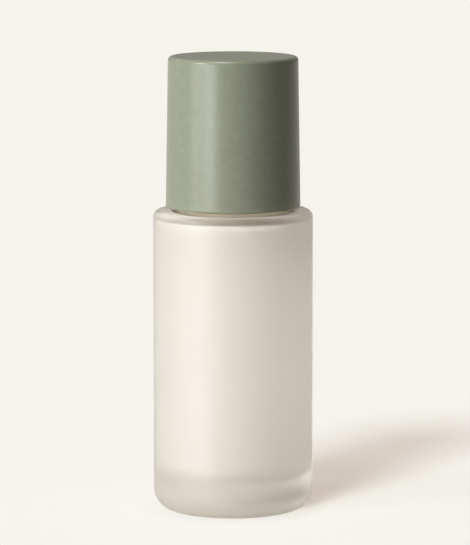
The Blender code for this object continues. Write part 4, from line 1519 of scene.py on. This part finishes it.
@dataclass
class Studio:
    """Pale floor, plain lamps and the photograph's camera."""

    camera_place: tuple[float, float, float] = (0.00047, -1.0, 0.1919)
    camera_pitch: float = 0.13125
    lens: float = 265.2
    sensor: float = 36.0
    backdrop: str = "#f8f5ee"
    floor_glow: str = "#cbbfb2"
    floor_colour: str = "#666e71"
    floor_bounce: str = "#4b4842"
    near_bounce: str = "#69635c"
    near_reach: tuple[float, float] = (0.025, 0.1)
    floor_reach: float = 8.0
    floor_dimming: float = 0.18
    floor_dimming_reach: float = 0.006
    floor_samples: int = 8
    floor_mirrored: float = 0.75
    light_colour: str = "#fff9ed"
    light_behind: float = 0.1
    light_full: float = 0.8
    mirrored_behind: float = 0.25
    mirrored_reach: tuple[float, float] = (-0.1, 0.6)
    lamps: tuple[Lamp, ...] = (
        Lamp("ceiling_panel", -30.0, 64.0, 1.55, 14.0),
        Lamp("upper_panel", -62.0, 24.0, 1.75, 18.0),
        Lamp("floor_key", -27.0, 42.0, 8.0, 14.0, floor_only=True),
        Lamp("side_panel", -66.0, -4.0, 0.45, 24.0, past_floor=True),
        Lamp("front_panel", -41.0, -4.0, 0.85, 24.0, past_floor=True),
    )

    def add_camera(self) -> None:
        """Adds the camera where the photograph's perspective puts it."""
        data = bpy.data.cameras.new("camera")
        data.lens = self.lens
        data.sensor_width = self.sensor
        camera = bpy.data.objects.new("camera", data)
        camera.location = self.camera_place
        camera.rotation_euler = (math.pi / 2 - self.camera_pitch, 0, 0)
        bpy.context.scene.collection.objects.link(camera)
        bpy.context.scene.camera = camera

    def seen_directly(self, tree: Tree, mirrored: float | bpy.types.Node) -> bpy.types.Node:
        """Adds a factor that is 1 for what the camera sees straight on or through glass.

        Args:
            tree: the node tree that takes it.
            mirrored: the factor for what a glossy surface mirrors, a value or a node.

        Returns:
            The node that gives the factor, which is 0 for light that falls on the object.
        """
        rays = add_node(tree, "ShaderNodeLightPath").outputs
        glossy = {0: rays["Is Glossy Ray"], 1: mirrored}
        either = {0: rays["Is Camera Ray"], 1: add_node(tree, "ShaderNodeMath", glossy, operation="MULTIPLY")}
        seen = {
            0: add_node(tree, "ShaderNodeMath", either, operation="MAXIMUM"),
            1: rays["Is Transmission Ray"],
        }
        return add_node(tree, "ShaderNodeMath", seen, operation="MAXIMUM")

    def floor_material(self) -> Material:
        """Builds the floor's finish: pale paper that glows a little for the camera.

        The glow stands for light from all round, so it dims where the object is close over the floor. What
        the floor throws back at the object is brighter near its foot than far away.

        Returns:
            The material.
        """
        material, tree = empty_material("pale_paper_floor")
        place = add_node(tree, "ShaderNodeTexCoord").outputs["Object"]
        away = add_node(tree, "ShaderNodeVectorMath", {0: place}, operation="LENGTH").outputs["Value"]
        near, far = self.near_reach
        fade = add_node(tree, "ShaderNodeMapRange", {"Value": away, "From Min": near, "From Max": far})
        tones = {MIX_A: linear(self.near_bounce), MIX_B: linear(self.floor_bounce)}
        bounce = add_node(tree, "ShaderNodeMix", {"Factor": fade, **tones}, data_type="RGBA")
        plain = add_node(tree, "ShaderNodeBsdfDiffuse", {"Color": bounce.outputs[MIX_COLOUR]})
        shown = add_node(tree, "ShaderNodeBsdfDiffuse", {"Color": linear(self.floor_colour)})
        reach = {"Distance": self.floor_dimming_reach}
        sky = add_node(tree, "ShaderNodeAmbientOcclusion", reach, samples=self.floor_samples).outputs["AO"]
        strength = add_node(tree, "ShaderNodeMapRange", {"Value": sky, "To Min": 1 - self.floor_dimming})
        glow = add_node(tree, "ShaderNodeEmission", {"Color": linear(self.floor_glow), "Strength": strength})
        both = add_node(tree, "ShaderNodeAddShader", {0: shown, 1: glow})
        direct = self.seen_directly(tree, self.floor_mirrored)
        surface = add_node(tree, "ShaderNodeMixShader", {0: direct, 1: plain, 2: both})
        add_node(tree, "ShaderNodeOutputMaterial", {"Surface": surface})
        return material

    def add_floor(self) -> Object:
        """Adds the floor, a plain sheet.

        Returns:
            The floor.
        """
        side = self.floor_reach
        corners = np.array([(-side, -side, 0), (side, -side, 0), (side, side, 0), (-side, side, 0)])
        floor = new_object("floor", corners, [(0, 1, 2, 3)], [self.floor_material()])
        return floor

    def add_world(self) -> None:
        """Adds the surroundings: pale where they are seen, and else a weak warm light from behind."""
        world = bpy.data.worlds.new("studio")
        bpy.context.scene.world = world
        world.use_nodes = True
        tree = world.node_tree
        tree.nodes.clear()
        way = add_node(tree, "ShaderNodeTexCoord").outputs["Generated"]
        depth = add_node(tree, "ShaderNodeSeparateXYZ", {0: way}).outputs["Y"]
        lit = {"Value": depth, "From Max": self.light_full, "To Max": self.light_behind}
        strength = add_node(tree, "ShaderNodeMapRange", lit)
        start, full = self.mirrored_reach
        mirrored = {"Value": depth, "From Min": start, "From Max": full, "To Max": self.mirrored_behind}
        direct = self.seen_directly(tree, add_node(tree, "ShaderNodeMapRange", mirrored))
        colour = {"Color": linear(self.light_colour), "Strength": strength}
        light = add_node(tree, "ShaderNodeBackground", colour)
        shown = add_node(tree, "ShaderNodeBackground", {"Color": linear(self.backdrop), "Strength": 1.0})
        mixed = add_node(tree, "ShaderNodeMixShader", {0: direct, 1: light, 2: shown})
        add_node(tree, "ShaderNodeOutputWorld", {"Surface": mixed})

    def build(self) -> None:
        """Builds the camera, the lamps, the floor and the surroundings."""
        scene = bpy.context.scene
        scene.view_settings.view_transform = "Standard"
        self.add_camera()
        floor = self.add_floor()
        for lamp in self.lamps:
            lamp.build(floor)
        self.add_world()


def main() -> None:
    """Builds the studio and every sub-assembly, and reports each piece."""
    logging.basicConfig(level=logging.INFO, format="%(name)s: %(message)s")
    Studio().build()
    for assembly in (GlassBottle(), Pump(), ScrewClosure(), PumpHead(), Overcap()):
        for piece in assembly.build():
            LOG.info("%s: %d faces", piece.name, len(piece.data.polygons))


if __name__ == "__main__":
    main()
